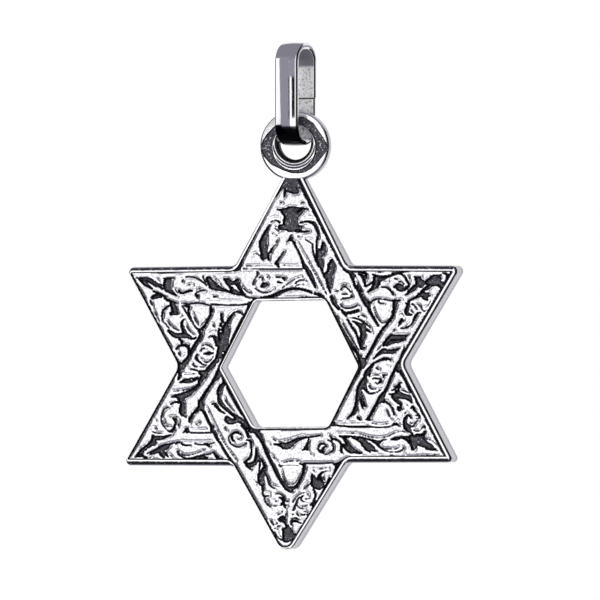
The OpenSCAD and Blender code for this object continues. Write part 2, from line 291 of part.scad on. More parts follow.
// Narrow leaves left standing inside the ground, in the same form.
BLADES = [
    [12.4, 32.8, 11.1, 30.4, 10.5, 26.7, 1.6, 1, 0.75], [14.6, 28.9, 14.4, 27.4, 13.4, 25.7, 1.6, 1.3, 0.6],
    [-42.7, 22.7, -39.8, 21, -36, 19.2, 0.7, 0.8, 1.1], [46, 24.1, 46.8, 24.4, 47.2, 25.1, 0.5, 1, 0.5]];

function along(s, t) = [for (i = [0, 1])
    s[i] * (1 - t) * (1 - 2 * t) + s[i + 2] * 4 * t * (1 - t) + s[i + 4] * t * (2 * t - 1)];
function heading(s, t) = let (d = [for (i = [0, 1])
    s[i] * (4 * t - 3) + s[i + 2] * (4 - 8 * t) + s[i + 4] * (4 * t - 1)]) atan2(d[1], d[0]);
function half_width(s, t) = (t < 0.5 ? s[6] + (s[7] - s[6]) * 2 * t : s[7] + (s[8] - s[7]) * (2 * t - 1)) / 2;
function reach(s, t, a) = along(s, t) + half_width(s, t) * [cos(heading(s, t) + a), sin(heading(s, t) + a)];

function stroke_outline(s) = let (n = stroke_steps) concat(
    [for (i = [0:n]) reach(s, i / n, 90)], [for (a = [40, -40]) reach(s, 1, a)],
    [for (i = [0:n]) reach(s, 1 - i / n, -90)], [for (a = [-140, -220]) reach(s, 0, a)]);

// Moves each corner of a clockwise outline inwards by d, or outwards if d is below zero.
function inset(c, d) = let (n = len(c)) [for (i = [0:n - 1])
    let (p = c[i], a = c[(i + n - 1) % n], b = c[(i + 1) % n],
         e = unit_of(p - a), f = unit_of(b - p), u = [e[1], -e[0]], v = [f[1], -f[0]],
         m = (u + v) / (1 + u * v), turn = e[0] * f[1] - e[1] * f[0])
    [p[0] + m[0] * d, p[1] + m[1] * d, max(0.05, p[2] + (turn < 0 ? -d : d))]];
function unit_of(v) = [v[0], v[1]] / norm([v[0], v[1]]);

// Rounds each corner of an outline by its own radius.
function rounded(c) = let (n = len(c)) [for (i = [0:n - 1])
    let (p = [c[i][0], c[i][1]], e = unit_of([for (k = [0, 1]) c[(i + n - 1) % n][k] - p[k]]),
         f = unit_of([for (k = [0, 1]) c[(i + 1) % n][k] - p[k]]), half = acos(e * f) / 2,
         middle = p + unit_of(e + f) * c[i][2] / sin(half), start = p + e * c[i][2] / tan(half),
         stop = p + f * c[i][2] / tan(half), a = start - middle, b = stop - middle,
         sweep = atan2(a[0] * b[1] - a[1] * b[0], a * b))
    for (k = [0:corner_steps]) let (q = sweep * k / corner_steps)
        middle + [a[0] * cos(q) - a[1] * sin(q), a[0] * sin(q) + a[1] * cos(q)]];

module area(c) { polygon(rounded(c) * unit); }

// The bail's fit in the eye: how far the turned strip reaches inside the hole, and what the hole and the
// eye measure then.
strip_reach = norm([bail_width / 2 * cos(bail_turn) + eye_depth / 2 * sin(bail_turn), bail_wall / 2]);
hole_r = strip_reach + hole_play;
eye_r = hole_rise + hole_r + eye_wall;
hole_z = -bail_opening - bail_wall / 2;
eye_z = hole_z - hole_rise;
bail_room = 2 * (norm([eye_wall, eye_depth]) / 2 + bail_width / 2 * sin(bail_turn) + leg_play);
// The eye's round edge meets the arm where the arm is as wide as the neck.
function edge_x(a, b, y) = a[0] + (b[0] - a[0]) * (y - a[1]) / (b[1] - a[1]);
neck_half = (edge_x(EDGE[0], EDGE[1], NECK) - edge_x(EDGE[12], EDGE[11], NECK)) / 2 * unit;
star_z = eye_z - NECK * unit - sqrt(pow(eye_r, 2) - pow(neck_half - eye_spread, 2));

module marks(rows) {
    for (s = rows) polygon(stroke_outline(s) * unit);
}

module ground_plan() {
    line = (rim_width + rim_line) / unit;
    rim = rim_width / unit;
    offset(delta = fine) offset(delta = -fine) intersection() {
        difference() {
            area(inset(EDGE, rim));
            area(inset(WINDOW, -rim));
        }
        union() {
            difference() {
                area(EDGE);
                area(inset(EDGE, line));
            }
            area(inset(WINDOW, -line));
            difference() {
                marks(GROUND);
                marks(BLADES);
            }
        }
    }
}

module star_plate() {
    translate([-eye_right, star_depth / 2, star_z]) rotate([90, 0, 0]) difference() {
        linear_extrude(star_depth) difference() {
            area(EDGE);
            area(WINDOW);
        }
        translate([0, 0, star_depth - ground_depth]) linear_extrude(star_depth) ground_plan();
    }
}

// A round end at either side of a short straight, as high as the eye is deep.
module oval(r) {
    for (side = [-1, 1]) translate([side * eye_spread, 0, 0]) cylinder(h = eye_depth, r = r);
    translate([-eye_spread, -r, 0]) cube([2 * eye_spread, 2 * r, eye_depth]);
}

module eye_disc() {
    translate([0, eye_depth / 2, eye_z]) rotate([90, 0, 0]) difference() {
        oval(eye_r);
        translate([0, 0, eye_depth - face_depth]) difference() {
            oval(eye_r - eye_border);
            translate([0, -hole_rise / 2, -1]) cylinder(h = eye_depth + 2, r = hole_r + lip_width);
        }
    }
}

module star() {
    color("silver") difference() {
        union() {
            star_plate();
            eye_disc();
        }
        translate([0, 0, hole_z]) rotate([90, 0, 0]) {
            cylinder(h = star_depth * 2, r = hole_r, center = true);
            for (side = [0, 180]) rotate([side, 0, 0]) translate([0, 0, eye_depth / 2 - hole_bevel])
                cylinder(h = hole_bevel * 2, r1 = hole_r, r2 = hole_r + hole_bevel * 2);
        }
    }
}

// The strip's outline in the plane of the loop, x to the back and y up: an open loop that butts at the seam.
// On each bend f is 0 on the inner face and 1 on the outer face.
bottom_r = (bail_room - seam_step) / 2;
seam_z = seam_height - bail_opening;
function bend(x, y, rx, ry, a, b) = [for (k = [0:bend_steps]) let (q = a + (b - a) * k / bend_steps)
    [x + rx * cos(q), y + ry * sin(q)]];
function face(f) = let (side = bail_room / 2 - bail_bend) concat(
    [[bail_room / 2 - seam_step + f * bail_wall, seam_z - seam_gap / 2]],
    bend(-seam_step / 2, bottom_r - bail_opening, bottom_r + f * bail_wall, bottom_r + f * bail_wall,
         0, -180),
    bend(-side, -bail_bend, bail_bend + f * bail_wall, bail_bend + f * bail_crown, 180, 90),
    bend(side, -bail_bend, bail_bend + f * bail_wall, bail_bend + f * bail_crown, 90, 0),
    [[bail_room / 2 + f * bail_wall, seam_z + seam_gap / 2]]);

module bail() {
    outer = face(1);
    inner = face(0);
    color("gainsboro") rotate([0, 0, -bail_turn]) rotate([90, 0, 90])
        linear_extrude(bail_width, center = true) polygon(concat(outer, [for (i = [len(inner) - 1:-1:0]) inner[i]]));
}

star();
bail();
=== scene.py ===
"""Star of david pendant in silver: a cast star with blackened ground, hung from a polished strip bail.

Shapes are worked out in millimetres in the frame of the CAD model, and go into the meshes in metres.
"""
import math
import bmesh
import bpy
import numpy as np
from mathutils.geometry import tessellate_polygon
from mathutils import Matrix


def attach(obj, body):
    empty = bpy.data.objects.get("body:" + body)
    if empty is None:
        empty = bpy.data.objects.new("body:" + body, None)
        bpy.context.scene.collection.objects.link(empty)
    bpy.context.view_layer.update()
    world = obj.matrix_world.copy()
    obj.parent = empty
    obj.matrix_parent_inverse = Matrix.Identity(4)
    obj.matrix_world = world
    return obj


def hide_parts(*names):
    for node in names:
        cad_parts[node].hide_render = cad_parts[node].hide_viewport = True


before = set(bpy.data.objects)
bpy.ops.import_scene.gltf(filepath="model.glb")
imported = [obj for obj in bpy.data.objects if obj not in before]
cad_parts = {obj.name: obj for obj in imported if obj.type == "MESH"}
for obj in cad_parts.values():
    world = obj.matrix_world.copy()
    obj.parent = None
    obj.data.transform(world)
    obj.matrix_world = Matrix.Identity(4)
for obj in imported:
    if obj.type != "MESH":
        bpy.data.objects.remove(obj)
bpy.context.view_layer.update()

# Sizes of the CAD model in millimetres
UNIT = 0.28
STAR_X = -0.18
STAR_Z = -25.313
HALF_DEPTH = 0.875
GROUND_DEPTH = 0.34
EYE_Z = -7.73
EYE_R = 2.786
EYE_SPREAD = 0.16
EYE_HALF = 0.45
HOLE_RISE = 0.25
HOLE_R = 1.376
HOLE_BEVEL = 0.25
LIP = 0.45
FACE_DEPTH = 0.12
BAIL_WIDTH = 2.05
BAIL_WALL = 0.5
BAIL_CROWN = 0.62
BAIL_ROOM = 2.424
BAIL_OPENING = 7.23
BAIL_BEND = 1.05
BAIL_TURN = math.radians(10)
SEAM_Z = -3.83
SEAM_GAP = 0.1
SEAM_STEP = 0.1

# Sizes that only the dressed part has, in millimetres: how far the faces draw in at the neck, the leaves'
# crown and the relief's hidden skirt, the eye's round edge and its lip's turned steps, the slant of the
# bail's seam, and the heights where the painted shade inside the bail under its crown and the painted
# shade outside its lower bend end
NECK_FALL = 0.47
CROWN_RISE = 0.05
SKIRT_Y = -0.505
EYE_ROUND = 0.24
FACE_SLOPE = 0.07
STEP_START = 0.12
STEP_PITCH = 0.21
STEP_HEIGHT = 0.035
SEAM_SLANT = 0.16
CROWN_SHADE_Z = -1.5
BEND_SHADE_Z = -6.1

# In percent of the star's side: where the neck starts and how far up it goes, how far its corners rise for
# the plate and for the relief, the upper end of the relief's straight border and of the relief, where the
# flecked ground starts, the grid's cell, the run of a leaf's crown and of its wall, and how much narrower
# wide strokes are
NECK_START = 49.2
NECK_RUN = 4
PLATE_RISE = 0.4
RELIEF_RISE = 1.2
BORDER_TOP = 53
RELIEF_TOP = 53.4
FLECK_START = 50.6
CELL = 0.223
CROWN_RUN = 0.9
WALL_RUN = 0.42
EDGE_ROUND = 0.07

# Rims: how far in the bevel, the crown and the wall end and the leaves start, in percent of the side, then
# the number of the rim at each outer edge and at each edge of the window
RIMS = [
    [0.08, 0.27, 0.37, 0.75], [0.38, 0.9, 1.1, 1.75], [0.88, 1.4, 1.55, 1.75], [1.0, 1.55, 1.7, 1.9],
    [0.15, 0.6, 0.75, 1.1], [0.3, 0.8, 0.95, 1.3], [0.1, 0.6, 0.75, 1.0], [0.02, 0.06, 0.1, 0.55],
    [0.05, 0.35, 0.5, 0.95], [0.1, 0.5, 0.75, 1.3], [0.02, 0.15, 0.4, 0.9]]
OUTER_RIM = [5, 1, 2, 1, 1, 3, 4, 0, 3, 0, 0, 2, 5]
WINDOW_RIM = [10, 6, 7, 7, 8, 9]

# Every mesh has a from_edge value at its points. On the star it is the distance from the edge of the buffed
# metal in millimetres: black below zero, white above and pitted from 0.07 on, and the casting's grey skin
# from 0.3; on the rim's bevels of level and right-facing edges it is set below zero, a painted shade. On the
# bail it is 0 on the buffed outside, 1 inside, up to 3 in a painted shade under the crown inside, and below
# zero where a painted shade darkens the outside of the lower bend and the seam's ends.
# The value that paints the rim's bevels dark on level and right-facing edges, a painted shade
PAINTED_BEVEL_SHADE = -0.02
BUFFED = 0.06
SKIN = 0.9

# The outer edge and the window, clockwise: [x, y, radius of the corner], in percent of the star's side
EDGE = [
    [2.75, 54.6, 0.2], [17.2, 28.4, 2.2], [51.9, 28.3, 1.6], [34.4, 0.2, 2.6],
    [49.7, -28.0, 1.2], [16.6, -28.2, 2.6], [-1.5, -55.8, 3.0], [-17.4, -29.2, 2.4],
    [-51.4, -29.2, 1.3], [-34.3, -0.6, 3.0], [-50.5, 27.9, 1.4], [-16.9, 28.3, 2.4],
    [-2.1, 54.6, 0.2]]
WINDOW = [
    [-11.0, 18.1, 1.6], [10.9, 18.4, 2.4], [20.9, -0.6, 1.6],
    [11.8, -17.9, 2.6], [-11.2, -18.1, 2.0], [-21.2, -0.9, 0.8]]

# The sunk face of the eye round its lip, clockwise from the left, in millimetres from the eye's middle
EYE_FACE = [
    [-2.84, 0.0], [-2.76, 0.3], [-2.37, 0.9], [-1.58, 1.7], [-0.8, 2.25], [0.8, 2.35], [1.67, 1.83],
    [2.55, 0.59], [2.9, 0.0], [2.86, -0.36], [2.02, -1.39], [1.5, -1.85], [0.96, -2.14], [0.4, -2.24],
    [-0.3, -2.2], [-0.96, -1.97], [-2.02, -1.48], [-2.63, -0.82], [-2.8, -0.35]]

# Each stroke of the ground is the mark of a round ended tool drawn through three points of growing or
# narrowing width: [x, y at its start, x, y at its middle, x, y at its end, width at each], in percent of
# the side
TOP_POINT = [
    [-2.1, 51.4, 0.6, 51.7, 3, 51.4, 2, 2.6, 2], [-2.2, 52.2, 0.6, 52.4, 3.2, 52.2, 0.7, 0.9, 0.7],
    [-2.3, 51.8, -3.2, 50, -4.3, 48, 1.4, 0.9, 0.4], [-1.3, 50.3, 0.8, 49.9, 2.1, 49.6, 1.6, 2, 1.4],
    [-1.6, 49.6, -1.7, 48.6, -1.9, 48.1, 0.9, 0.8, 0.6], [3.3, 50.1, 4.1, 49.3, 4.8, 48.2, 0.25, 0.5, 0.2],
    [-3.2, 46.4, -2.7, 46.5, -2.4, 46.2, 0.3, 0.4, 0.2], [3, 46, 3.9, 46.5, 4.8, 46.4, 0.2, 0.45, 0.2],
    [-4.1, 44.5, -2.2, 44.3, 0, 44.2, 0.3, 1.2, 2.2], [0, 44.2, 3, 44.7, 5.6, 44.5, 2.2, 1, 0.4],
    [0.1, 43.4, 0.1, 41.8, 0.1, 40.4, 4.2, 4.6, 5], [1.8, 42.6, 2.7, 43.4, 3.8, 44.3, 1.8, 1.8, 1.3],
    [-1.5, 42.8, -2.1, 43.6, -2.8, 44.3, 1.4, 1.4, 0.9], [-3, 39.4, 0.2, 39.4, 3.1, 39.2, 1.8, 2.2, 1.6],
    [1.5, 38.4, 3.8, 38.1, 6, 38.3, 1, 0.9, 0.4], [-3.3, 40.7, -4.5, 41.3, -6, 40.8, 0.8, 0.4, 0.4],
    [3, 40.6, 5.6, 40.95, 7.6, 40.1, 0.6, 0.75, 1.4], [7.6, 40.1, 8.3, 38.5, 8.6, 36.8, 1.4, 1.1, 0.4],
    [8.4, 36.6, 8.1, 35, 8.1, 33, 0.8, 0.8, 1], [9.9, 34.8, 10.1, 33.4, 9.4, 31.9, 1, 1.9, 2.4],
    [8.6, 32.6, 8.6, 30.8, 9.2, 28.6, 1.6, 2, 2.1], [9.2, 28.6, 9.9, 27.2, 10.9, 25.2, 1.7, 1.3, 1.6],
    [12.5, 29.8, 12.5, 28.2, 12.1, 26.3, 1, 2.6, 2.2], [11.9, 26, 11.8, 24.2, 11.8, 22.2, 2.4, 2.2, 1.4],
    [11.8, 22.2, 12, 21.2, 12.3, 20.4, 1.2, 0.6, 0.4], [4.4, 35.9, 5.6, 35.3, 6.8, 34.5, 0.3, 0.45, 0.4],
    [6.8, 34.5, 7, 32.3, 8, 29.5, 0.5, 0.6, 0.8], [2.2, 36.7, 2.8, 36.6, 3.3, 36.5, 0.3, 0.35, 0.2],
    [5.7, 36.1, 6.4, 35.8, 7.2, 35.4, 0.15, 0.25, 0.15], [0.15, 37.1, 0.1, 36.4, 0.1, 35.9, 0.4, 0.9, 1.4],
    [-0.1, 36, -0.7, 35.4, -1.3, 35.1, 1, 0.6, 0.3], [0.2, 36, 0.8, 35.4, 1.3, 34.9, 1, 0.9, 0.8],
    [1, 35.2, 2.5, 32.4, 3.5, 30.2, 1, 0.7, 0.7], [3.5, 30.2, 3.9, 28.9, 4.3, 27.8, 0.8, 1, 1.3],
    [4.3, 28.4, 5.9, 26, 7.7, 22.2, 1, 1.6, 0.9], [-1.9, 32.5, -3.2, 30.7, -4.5, 28.9, 0.4, 0.6, 0.9],
    [-4.4, 28.9, -3.9, 28.6, -3.6, 28, 0.9, 1, 0.8], [-2.6, 28.5, 0.3, 28.25, 3, 28.25, 0.25, 0.3, 0.25],
    [-14.4, 27.45, -5, 27.35, 3.6, 27.4, 0.45, 0.45, 0.5],
    [-17.6, 26.9, -15.8, 27.5, -14.9, 29.6, 0.3, 1.3, 0.6],
    [-6.2, 40.2, -7.6, 37.6, -8.4, 34.6, 0.3, 1.5, 2.6], [-8.4, 34.8, -8.2, 33, -7.9, 31, 2.8, 2.5, 2],
    [-8.9, 31.2, -8.5, 30.3, -8.3, 29.9, 1, 0.9, 0.5], [-6.8, 31.6, -6.7, 30.6, -6.6, 29.9, 1.2, 1, 0.6],
    [-6.1, 32.2, -5.4, 33.5, -4.5, 34.2, 0.9, 0.6, 0.3], [-4.5, 34.2, -4.3, 35, -3.9, 35.9, 0.3, 0.35, 0.3],
    [-11.4, 31.4, -10.7, 31.9, -9.6, 31.3, 0.25, 0.35, 0.4],
    [-13.4, 28.2, -9, 28.3, -5, 28.25, 0.4, 0.3, 0.25],
    [-4.6, 39.55, -4.3, 39.6, -4, 39.6, 0.25, 0.35, 0.25], [-5, 39, -4.3, 38.8, -3.6, 38.3, 0.2, 0.4, 0.6],
    [-5.6, 37.7, -5.2, 37.4, -4.7, 37.1, 0.35, 0.3, 0.15],
    [-5.9, 41.9, -4.6, 42.3, -3.2, 42, 0.15, 0.3, 0.15], [4.2, 41.9, 5.6, 42, 7, 41.9, 0.15, 0.25, 0.15],
    [5.6, 42.8, 6.2, 42.8, 6.9, 42.5, 0.3, 0.3, 0.2], [2.1, 35, 6.6, 27.5, 11.2, 19.9, 0.2, 0.3, 0.35]]
TOP_BAND = [
    [-9, 19.2, -6, 19.6, -3.5, 20.3, 0.6, 0.9, 1.4], [-3.5, 20.4, -0.5, 21.5, 2.5, 21.7, 1.3, 1.1, 0.9],
    [2.5, 21.7, 4.9, 21.2, 6.6, 20.5, 0.9, 0.9, 0.8], [-0.3, 19, 2.5, 19.1, 5.2, 19.35, 0.25, 0.35, 0.5],
    [-2, 19.1, -1.2, 19, -0.7, 18.8, 0.3, 0.35, 0.25], [-2.4, 21.9, 0.8, 24.1, 3.4, 25.1, 0.35, 0.35, 0.2],
    [1.7, 23.3, 3.2, 24.2, 5, 23.9, 0.7, 0.4, 0.3], [1.6, 22.4, 3.5, 22.9, 6.5, 22.1, 0.3, 0.3, 0.2],
    [-4.4, 25, -3, 25, -1.6, 24.7, 0.5, 0.4, 0.6], [-2.2, 24.8, -1.9, 24.3, -1.7, 23.9, 0.9, 0.7, 0.3],
    [-3.8, 23.6, -3, 23.5, -2.4, 23.5, 0.7, 0.7, 0.4], [-7.1, 25.2, -7, 25, -6.8, 24.9, 0.4, 0.5, 0.3],
    [-7.2, 22.9, -8, 22.8, -8.7, 22.3, 0.9, 1.8, 1], [-11.4, 22.9, -11, 24.2, -10.2, 25.2, 0.5, 0.5, 0.6],
    [-10.2, 25.2, -10.1, 25.8, -10.2, 26.6, 0.5, 0.4, 0.6],
    [-9.6, 24.9, -8.7, 24.9, -8.4, 24, 0.4, 0.5, 0.5], [-10.7, 21.8, -9, 20.8, -7.3, 20.6, 0.5, 0.45, 0.4],
    [-7.3, 20.6, -6, 20.9, -5, 21.8, 0.35, 0.35, 0.2],
    [-14.9, 22.6, -13.8, 21.3, -12.3, 20.6, 0.3, 0.45, 0.4],
    [-13.8, 19.5, -12.3, 19.1, -10.5, 19, 0.6, 0.5, 0.5], [7.6, 20.3, 8.8, 20, 10, 19.4, 1, 1.1, 1]]
UPPER_LEFT_ARM = [
    [-25.2, 24.7, -24.4, 23.4, -23.4, 22.3, 1.5, 2.2, 2],
    [-24.2, 22.5, -22.4, 21.8, -19.6, 21.2, 1.9, 1.6, 0.8],
    [-24.6, 24.9, -23, 23.2, -20.7, 21.5, 0.7, 0.9, 0.8],
    [-26.9, 25.4, -26.5, 24.6, -25.9, 23.6, 0.4, 0.5, 0.6],
    [-23.9, 25.2, -22, 23.5, -19.9, 21.8, 0.2, 0.3, 0.2],
    [-20.2, 24.5, -19.1, 23.5, -18.1, 22.4, 0.8, 1.6, 1.6],
    [-19.3, 24.2, -17.7, 23.4, -16.2, 23.8, 1.4, 1.3, 1.4],
    [-18.2, 22, -17.2, 21.2, -16, 20.6, 1.2, 1.6, 1.5], [-16.4, 24, -15.9, 22.8, -15.3, 21.2, 1.4, 1.2, 1.4],
    [-19.6, 21.1, -16.8, 20.5, -14.2, 20, 0.8, 1.3, 1], [-17, 23.2, -16.4, 22.6, -15.8, 21.8, 0.7, 0.8, 0.6],
    [-15.2, 21.4, -14.7, 20.6, -13.9, 20, 1.2, 1, 0.7],
    [-23.5, 19.4, -23.1, 19.45, -22.7, 19.4, 0.6, 0.75, 0.5],
    [-29, 20.3, -28.7, 19.7, -28.5, 18.9, 0.7, 1.1, 0.4],
    [-28.8, 20.6, -27.5, 21.1, -26, 21.2, 0.5, 0.6, 0.4], [-29, 21.2, -28, 21.7, -27, 21.6, 0.3, 0.3, 0.2],
    [-25.2, 18.4, -19, 18.2, -13.2, 18.4, 0.15, 0.2, 0.15],
    [-24.2, 17.2, -18.5, 17, -14, 17.1, 0.6, 0.55, 0.5], [-14, 17.2, -12.9, 17.4, -12, 18, 0.5, 0.7, 0.5],
    [-12.7, 17.3, -13.1, 16, -13.9, 14.4, 1.3, 0.6, 0.5], [-32, 17, -28.3, 17.6, -24.8, 16.9, 0.5, 0.6, 0.5],
    [-30, 14.8, -29, 12.5, -27.9, 10.9, 0.2, 0.4, 0.3],
    [-27.6, 10.8, -26.2, 12.4, -24.8, 14.2, 0.3, 0.35, 0.2],
    [-31.2, 15.8, -30.9, 14.2, -29.8, 11.8, 0.9, 0.7, 0.5],
    [-32.6, 16.9, -31.6, 16.6, -30.8, 16.4, 0.5, 0.9, 0.7],
    [-29.8, 11.8, -29, 10.6, -28.2, 10, 0.5, 0.5, 0.7], [-24.4, 16.3, -24.4, 14.6, -25, 13.2, 0.9, 0.8, 0.7],
    [-25, 13.2, -26, 11.4, -27.4, 9.8, 0.7, 0.8, 1.2], [-27.6, 9.6, -27.4, 8.4, -28.2, 6.8, 1.6, 1.3, 1.3],
    [-24.3, 17, -24.2, 16.2, -24, 15.2, 0.6, 0.9, 0.7], [-19.4, 12.3, -17.7, 14.5, -16.2, 15, 0.4, 0.6, 0.5],
    [-16.2, 15, -15, 14.6, -14, 13.6, 0.5, 0.5, 0.5], [-19.6, 13.2, -18.3, 15, -16.5, 15.9, 0.2, 0.3, 0.2],
    [-21.2, 14.4, -21, 13.2, -20.7, 12.2, 0.8, 1, 1], [-19.9, 12, -19.8, 10.2, -20.2, 8.4, 0.8, 2.4, 3.2],
    [-23.8, 11.6, -23.6, 11.1, -23.4, 10.7, 0.35, 0.4, 0.3],
    [-24.9, 9, -23.6, 9.8, -22, 9.3, 0.2, 0.35, 0.3], [-25, 7.7, -23.9, 8.1, -22.8, 7.6, 0.4, 0.8, 1],
    [-23.2, 7.6, -22.6, 6.8, -22.4, 5.6, 1.2, 1.6, 1.4],
    [-14.6, 13.4, -16.2, 10.4, -18.2, 6.6, 0.6, 0.7, 0.6], [-21.2, 11.6, -21.6, 9.6, -21.8, 7.6, 1, 1.4, 1],
    [-17.8, 14.4, -16, 15.2, -14.6, 14.6, 0.3, 0.5, 0.4],
    [-19.1, 12, -18.5, 13.4, -17.3, 14.4, 1.2, 1.1, 0.6]]
UPPER_LEFT_POINT = [
    [-47.4, 24.9, -46.2, 24.7, -44.8, 24.3, 0.3, 0.8, 1.4],
    [-46.2, 24.4, -44.6, 23.2, -42.4, 21.6, 0.9, 1.5, 0.5],
    [-45.2, 24.6, -43.2, 24.1, -41.2, 22.8, 1, 1.6, 1.4], [-41.2, 22.9, -40, 22.6, -39.2, 22, 1.2, 1.3, 1.4],
    [-37.6, 23.7, -37.7, 22.7, -37.5, 21.7, 2.7, 2.8, 2.4],
    [-38.8, 24.7, -37.4, 24.75, -36, 24.8, 0.5, 0.5, 0.5],
    [-37, 21.2, -35.8, 20.3, -34.6, 19.6, 1.6, 1, 0.4],
    [-42.5, 25.5, -41, 24.7, -39.7, 23.6, 0.15, 0.3, 0.3],
    [-42, 21, -40.2, 20.3, -38.2, 19.3, 0.7, 0.8, 0.7], [-42.2, 19.2, -41, 19.6, -39.6, 19.4, 1.3, 1.6, 1],
    [-38.6, 19, -37.2, 18.3, -34.6, 17.5, 0.7, 1, 0.4],
    [-42.9, 18.4, -42.7, 17.6, -42.3, 16.9, 0.4, 0.5, 0.4],
    [-36.3, 17.6, -35.9, 16.6, -35.6, 15.6, 1.6, 1.8, 2],
    [-36.6, 14.5, -35.4, 14.7, -34.4, 14.4, 1.2, 1.5, 0.6],
    [-39, 15.6, -38.1, 16.2, -37, 16.9, 0.6, 0.8, 0.5], [-39.1, 15.3, -39.3, 14, -39.2, 12.4, 0.5, 0.8, 0.5],
    [-39.2, 12.2, -38.1, 11.4, -37.3, 10.5, 0.3, 0.5, 0.5],
    [-37.8, 12.6, -36.4, 10.9, -33.9, 9.6, 0.3, 0.45, 0.35],
    [-42.2, 16, -41.2, 14.2, -40.1, 12.3, 0.2, 0.35, 0.35],
    [-32.5, 12.9, -33.3, 11.8, -33, 10.6, 0.5, 0.9, 1.2], [-33, 10.8, -32.8, 9.9, -32.4, 9.2, 1.2, 1.3, 1.4],
    [-33.8, 13.3, -33, 13.9, -32.2, 13.9, 0.3, 0.35, 0.15], [-37.3, 9.6, -36, 8.6, -34.4, 8.1, 1, 1.5, 1.6],
    [-34.4, 8.1, -32.6, 8.3, -31, 7.8, 1.6, 1.8, 1.2], [-31, 7.8, -29.8, 7.3, -28.9, 7.7, 1, 0.8, 0.6],
    [-34, 7.2, -33.4, 6.6, -33.2, 5.6, 0.9, 0.9, 0.8],
    [-34.2, 21.2, -33.7, 20.6, -32.9, 20.4, 0.6, 0.8, 0.8],
    [-32.9, 20.4, -31.6, 20.9, -30.2, 21.2, 0.6, 0.9, 0.8],
    [-33.1, 24.3, -33, 23.8, -32.9, 23.4, 0.4, 0.5, 0.3],
    [-31.8, 22.5, -30.8, 22.9, -29.9, 22.9, 0.3, 0.4, 0.2],
    [-32, 25.1, -30.2, 25.1, -28.4, 24.6, 0.5, 0.5, 0.5],
    [-28.4, 24.6, -26.9, 23.7, -25.6, 22.7, 0.5, 0.5, 0.6],
    [-42.6, 26, -39.5, 26.1, -35.2, 26.2, 0.3, 0.3, 0.2],
    [-35.3, 21.5, -34.9, 20.9, -34.4, 20.4, 0.3, 0.35, 0.3],
    [-33.2, 16.8, -31.8, 14.8, -30.3, 12.4, 0.4, 0.6, 0.6],
    [-33.3, 17.5, -32.2, 17.5, -31, 17.1, 0.3, 0.5, 0.6], [-32, 12, -31.2, 9.9, -29.2, 8.4, 0.2, 0.4, 0.35]]
